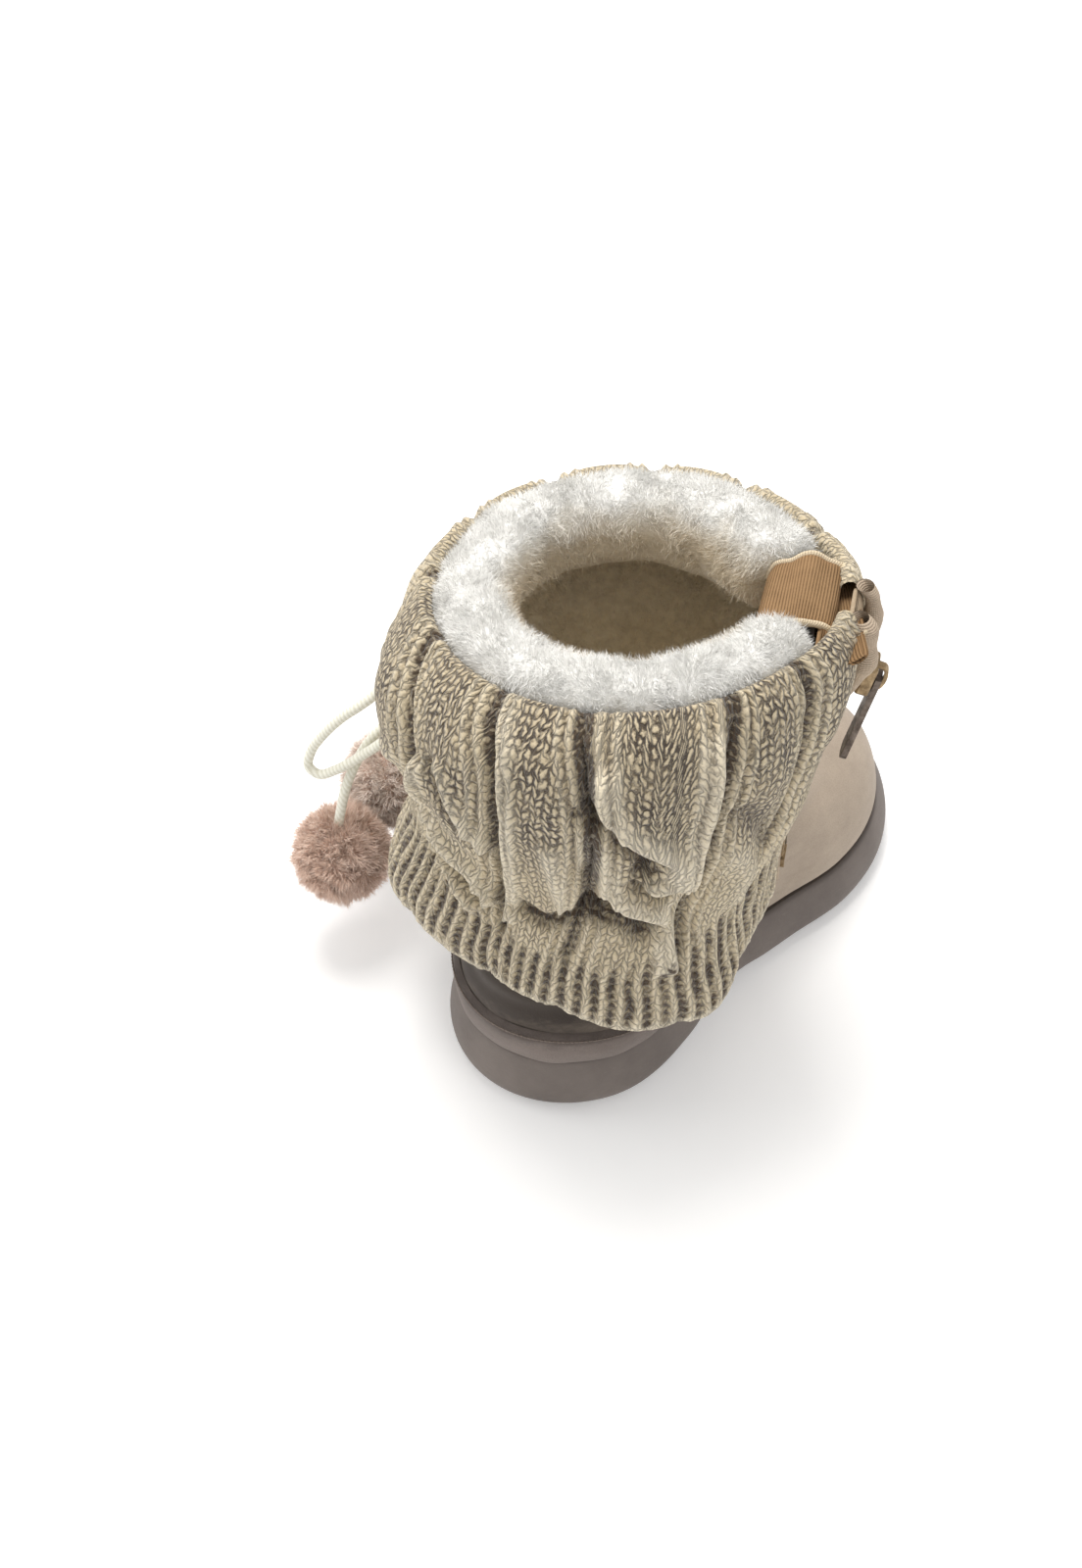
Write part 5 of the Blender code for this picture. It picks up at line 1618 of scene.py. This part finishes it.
def collar_sink(points):
    """How far these points lie below the collar's top, 0 on its outer side."""
    centre = tube_core(SHAFT_HEIGHT)[0]
    x, y = points[:, 0] - BASE.x - centre.x, points[:, 1] - BASE.y - centre.y
    turns = np.linspace(-math.pi, math.pi, 181)
    rim = [fleece_point(turn, 0.0, 0.0).to_2d() - centre.to_2d() for turn in turns]
    bearing = np.unwrap([math.atan2(spot.y, spot.x) for spot in rim])
    reach = np.array([spot.length for spot in rim])
    order = np.argsort(bearing)
    outer = np.interp(np.arctan2(y, x), bearing[order], reach[order], period=2 * math.pi)
    share = (outer - np.hypot(x, y)) / FLEECE_THICKNESS
    fall = collar_height(points) + FLEECE_HEIGHT - points[:, 2]
    inner = np.maximum(
        np.clip((share - 0.34) / 0.36, 0, 1), np.clip((fall - FLEECE_HEIGHT) / 0.004, 0, 1)
    )
    return fall * inner


# Zip


def ribbon(name, path, width, inner, outer, look, slot, *nodes):
    """Flat band with rounded sides along a path of (point, outward, side)."""
    thick = (outer - inner) / 2
    around = []
    for k in range(12):
        turn = 2 * math.pi * k / 12
        c, s = math.cos(turn), math.sin(turn)
        across = math.copysign(abs(c) ** 0.35, c) * width / 2
        rise = math.copysign(abs(s) ** 0.6, s) * thick + (inner + outer) / 2
        around.append((across, rise))
    points, uv = [], []
    run = 0.0
    for i, (point, outward, side) in enumerate(path):
        if i:
            run += (point - path[i - 1][0]).length
        for across, rise in around:
            points.append((point + side * across + outward * rise)[:])
            uv.append((run * 1000, across * 1000))
    caps = []
    for base, turned in ((0, False), ((len(path) - 1) * 12, True)):
        for k in range(5):
            quad = [base + k, base + k + 1, base + 10 - k, base + 11 - k]
            caps.append(quad[::-1] if turned else quad)
    faces = grid_faces(len(path), 12, closed=True).tolist() + caps
    return settle(mesh_object(name, points, faces, look, uv=uv), slot, *nodes)


def zip_run(first, last, count, inward=0.0):
    outward, side = zip_frame()
    return [
        (
            knit_point(blend(first, last, k / count), ZIP_ANGLE, inward=inward), outward, side
) for k in range(count + 1)
    ]


def make_zip():
    outward, side = zip_frame()
    chain_in = CHAIN_THICKNESS - CHAIN_STAND
    tape = woven_look("zip_tape_woven", (0.46, 0.36, 0.25), (0.27, 0.20, 0.13), 0.55)
    ribbon(
        "zip_tape_woven",
        zip_run(0.03, 0.985, 90),
        TAPE_WIDTH,
        -chain_in - CLEAR - TAPE_THICKNESS,
        -chain_in - CLEAR,
        tape,
        "zip_tape",
        "zip_tape",
    )

    # Teeth in two interlocking rows
    path = zip_run(CHAIN_START, 0.955, 400)
    lengths = [0.0]
    for a, b in zip(path, path[1:]):
        lengths.append(lengths[-1] + (b[0] - a[0]).length)
    pitch = 0.00115
    points, faces = [], []
    for n in range(int(lengths[-1] / pitch) - 1):
        want = (n + 0.6) * pitch
        i = max(k for k in range(len(lengths) - 1) if lengths[k] <= want)
        spot = path[i][0].lerp(path[i + 1][0], (want - lengths[i]) / (lengths[i + 1] - lengths[i]))
        along = (path[i + 1][0] - path[i][0]).normalized()
        out = side.cross(along).normalized()
        if out.dot(outward) < 0:
            out = -out
        way = 1 if n % 2 else -1
        base = len(points)
        for end in (0, 1, 2):
            across = way * (CHAIN_WIDTH / 2 * (1, 0.5, -0.22)[end])
            tall = 0.00042 * (0.85, 1.0, 0.8)[end]
            thick = 0.00062 * (0.8, 1.0, 0.7)[end]
            middle = spot + side * across - out * (chain_in - CHAIN_STAND) / 2
            for u, w in ((-1, -1), (1, -1), (1, 1), (-1, 1)):
                points.append((middle + along * tall * u + out * thick * w)[:])
        for k in (0, 1):
            for m in range(4):
                q = (m + 1) % 4
                faces.append(
                    (base + k * 4 + m, base + k * 4 + q, base + k * 4 + 4 + q, base + k * 4 + 4 + m)
                )
        faces.append((base + 3, base + 2, base + 1, base))
        faces.append((base + 8, base + 9, base + 10, base + 11))
    brass = metal_look("zip_brass", (0.42, 0.31, 0.18), (0.20, 0.14, 0.08))
    teeth = mesh_object("zip_teeth", points, faces, brass, smooth=False)
    bevel = teeth.modifiers.new("Bevel", "BEVEL")
    bevel.width = 0.00012
    bevel.segments = 2
    settle(teeth, "old_brass", "zip_chain")

    for name in ("zip_stop", "zip_slider"):
        dress(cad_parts[name], brass, 0.00025)
    dress(
        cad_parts["zip_pull"],
        metal_look("pull_dark", (0.20, 0.165, 0.14), (0.09, 0.07, 0.058), 0.42),
        0.00025,
    )


def bead(name, rings, around, pitch, look, slot, turned=False):
    """Round bead through rings of (middle, side, half width, outward, half height)."""
    points, uv = [], []
    for k, (middle, side, wide, outward, tall) in enumerate(rings):
        for m in range(around):
            turn = 2 * math.pi * m / around
            points.append((middle + side * wide * math.cos(turn) + outward * tall * math.sin(turn))[:])
            uv.append((k * pitch[0], m * pitch[1]))
    faces = grid_faces(len(rings), around, closed=True)
    if turned:
        faces = faces[:, ::-1]
    return settle(mesh_object(name, points, faces, look, uv=uv), slot)


def make_placket():
    """Edges of the knit beside the zip, bound with tape and thicker towards the top."""
    outward, side = zip_frame()
    look = woven_look("placket_binding", (0.52, 0.42, 0.32), (0.31, 0.24, 0.175), 0.5)
    steps = 120
    for name, way in (("placket_back", -1), ("placket_front", 1)):
        rings = []
        for k in range(steps + 1):
            rise = blend(0.012, 0.992, k / steps)
            high = ease((rise - 0.70) / 0.18)
            lump = 1 + high * 0.55 * noise.noise(Vector((k * 0.11, way * 5.0, 0.3)))
            wide = blend(0.0010, 0.0026, high) * lump
            tall = blend(0.0009, 0.0024, high) * lump
            apart = side * way * (CHAIN_WIDTH / 2 + 0.0012 + wide * 0.8)
            middle = knit_point(rise, ZIP_ANGLE) + apart + outward * blend(-0.0012, 0.0004, high)
            rings.append((middle, side, wide, outward, tall))
        bead(name, rings, 14, (0.8, 0.55), look, "oatmeal_wool", turned=True)


def dress(made, look, rounding):
    """Better material and rounded edges on a CAD node."""
    for held in made.material_slots:
        held.link = "OBJECT"
        held.material = look
    if not made.material_slots:
        made.data.materials.append(look)
    modifier = made.modifiers.new("Rounded", "BEVEL")
    modifier.width = rounding
    modifier.segments = 2
    modifier.limit_method = "ANGLE"
    modifier.angle_limit = math.radians(35)


def make_facing():
    outward, side = zip_frame()
    outer = fleece_point(ZIP_ANGLE, 0.0, 0.0)
    centre = tube_core(SHAFT_HEIGHT)[0]
    radius = (outer.xy - centre).length
    radius -= FACING_WIDTH**2 / (8 * radius) + CLEAR
    top = SHAFT_HEIGHT + FLEECE_HEIGHT * 0.93
    inner = (outer.xy - centre).length - FLEECE_THICKNESS
    bend = (radius - inner) / 2
    spots = []
    # From the zip's upper end up to the collar, so that no gap shows behind the zip
    zip_end = knit_point(0.975, ZIP_ANGLE, inward=0.0018)
    outside = (zip_end.xy - centre).length
    lift = collar_lift(zip_end.x, zip_end.y, 1.0)
    for k in range(12):
        share = k / 12
        reach = blend(outside, radius, share) + 0.0016 * math.sin(math.pi * share)
        spots.append(
            (
                reach,
                blend(zip_end.z - lift - 0.001, top - bend * 0.75, ease(share)),
                math.radians(38) * math.sin(math.pi * share),
            )
        )
    for k in range(33):
        turn = math.pi * k / 32
        spots.append(
            (inner + bend + bend * math.cos(turn), top - bend * 0.75 * (1 - math.sin(turn)), turn)
        )
    for k in range(1, 15):
        spots.append((inner, top - bend * 0.75 - FACING_DROP * k / 14, math.pi))
    path = []
    for reach, height, turn in spots:
        spot = Vector((centre.x, centre.y, 0)) + outward * reach
        spot.z = height + collar_lift(spot.x, spot.y, 1.0)
        away = outward * math.cos(turn) + Vector((0, 0, math.sin(turn)))
        crumple = noise.noise(Vector((len(path) * 0.13, 3.0, 0.5))) * 0.0022
        twist = noise.noise(Vector((len(path) * 0.09, 9.0, 0.5))) * 0.5
        path.append((spot + away * crumple, away, (side + away * twist).normalized()))
    look = woven_look("facing_grosgrain", (0.30, 0.185, 0.094), (0.105, 0.058, 0.028), 0.7)
    wide = FACING_WIDTH * 1.22
    ribbon(
        "facing_grosgrain", path, wide, -FACING_THICKNESS, 0.0, look, "brown_grosgrain", "zip_facing"
    )
    gusset = [
        (spot - across * 0.0100 - away * 0.0006, away, across) for spot, away, across in path[:20]
    ]
    ribbon("facing_gusset", gusset, 0.0175, -FACING_THICKNESS, 0.0, look, "brown_grosgrain")
    piping = woven_look("facing_piping", (0.74, 0.62, 0.45), (0.50, 0.38, 0.25), 0.4)
    for name, way in (("facing_piping_back", -1), ("facing_piping_front", 1)):
        rings = []
        for spot, away, across in path[:48]:
            middle = spot + across * way * wide / 2 - away * FACING_THICKNESS / 2
            rings.append((middle, across, 0.00075, away, 0.00105))
        bead(name, rings, 10, (0.6, 0.4), piping, "brown_grosgrain")


# Bow and pom-poms


def routes():
    return {
        "bow_loop_back": (at_knot(BACK_LOOP[0]), *BACK_LOOP, at_knot(BACK_LOOP[-1])),
        "bow_loop_front": (at_knot(FRONT_LOOP[0]), *FRONT_LOOP, at_knot(FRONT_LOOP[-1])),
        "bow_end_back": (at_knot(BACK_END[0]), *BACK_END[:-1], cord_seat(BACK_POM)),
        "bow_end_front": (at_knot(FRONT_END[0]), *FRONT_END[:-1], cord_seat(FRONT_POM)),
    }


def cord_curve(name, points, diameter, look, closed=False):
    curve = bpy.data.curves.new(name, "CURVE")
    curve.dimensions = "3D"
    curve.bevel_depth = diameter / 2
    curve.bevel_resolution = 4
    curve.use_fill_caps = not closed
    spline = curve.splines.new("POLY")
    spline.points.add(len(points) - 1)
    for spot, place in zip(spline.points, points):
        spot.co = (*(place + BASE), 1)
    spline.use_smooth = True
    spline.use_cyclic_u = closed
    made = bpy.data.objects.new(name, curve)
    bpy.context.scene.collection.objects.link(made)
    curve.materials.append(look)
    return made


def make_cords():
    look = cord_look()
    made_cords = {}
    for name, points in routes().items():
        fine = smooth_route(smooth_route(points, 2 * CORD_DIAMETER), CORD_DIAMETER * 0.35)
        made = settle(cord_curve(name + "_cord", fine, CORD_DIAMETER, look), "cream_cord", name)
        length = sum((b - a).length for a, b in zip(fine, fine[1:]))
        made_cords[name] = (made, fine[0] + BASE, length)

    # Knot: two turns of the cord wound round each other
    middle = knot_centre()
    reach = KNOT_RADIUS - CORD_DIAMETER / 2
    count = 136
    points = []
    for k in range(count):
        t = k / count * 2 * math.pi
        radius = reach * (0.72 + 0.28 * math.cos(3 * t))
        points.append(middle + Vector((
            radius * math.cos(2 * t) * 0.75,
            radius * math.sin(2 * t),
            reach * 0.8 * math.sin(3 * t),
        )))
    knot = cord_curve("bow_knot_cord", points, CORD_DIAMETER * 0.95, look, closed=True)
    return made_cords, settle(knot, "cream_cord", "bow_knot")


# Fur at its root, at its tip, and of the darker hairs
FUR_TONES = ((0.62, 0.43, 0.33), (0.92, 0.76, 0.66), (0.78, 0.58, 0.47))


def make_poms():
    found = {}
    # Painted light: the front pom-pom's fur is blended further towards a light tone than the back one's, a
    # lit copy of the same fur
    for name, centre, seed, painted_light_share in (
        ("pom_pom_back", BACK_POM, 21, 0.10), ("pom_pom_front", FRONT_POM, 31, 0.6)
    ):
        bm = pom_ball(centre)
        bmesh.ops.subdivide_edges(bm, edges=bm.edges, cuts=1, use_grid_fill=True, smooth=0.5)
        mesh = bpy.data.meshes.new(name + "_core")
        for vert in bm.verts:
            vert.co *= 0.98
            vert.co += Vector(centre) + BASE
        bm.to_mesh(mesh)
        bm.free()
        mesh.shade_smooth()
        core = bpy.data.objects.new(name + "_core", mesh)
        bpy.context.scene.collection.objects.link(core)
        mesh.materials.append(
            pile_look(name + "_core", (0.78, 0.60, 0.51), (0.50, 0.34, 0.27), 700.0, 0.001)
        )
        settle(core, "pink_fur", name)
        roots, ways = scatter(core, POM_FIBRES, seed)
        rng = np.random.default_rng(seed + 1)
        clump = np.stack([fibre_noise(roots, 420, s) for s in (1.0, 2.0, 3.0)], -1)
        ways = ways + clump * 1.1 + rng.normal(size=ways.shape) * 0.16
        lengths = rng.uniform(0.0016, 0.0038, len(roots)) * (1 + clump[:, 0] * 0.8)
        tones = [
            tuple(blend(c, w, painted_light_share) for c, w in zip(tone, (0.95, 0.90, 0.85))) for tone in FUR_TONES
        ]
        fur = fibre_look(name + "_fur", *tones, 0.5)
        hair = strands(name + "_fur", roots, ways, lengths, 0.00020, fur, seed + 2, 0.30, 0.05)
        settle(hair, "pink_fur")
        found[name] = (core, hair)
    return found


def main():
    place_camera()
    place_lights()
    lay_floor()
    cords, knot = make_cords()
    poms = make_poms()
    make_sole()
    make_foot()
    make_footbed()
    make_counter()
    make_knit()
    make_fleece()
    make_zip()
    make_placket()
    make_facing()


bpy.context.scene.view_settings.view_transform = "Standard"
main()
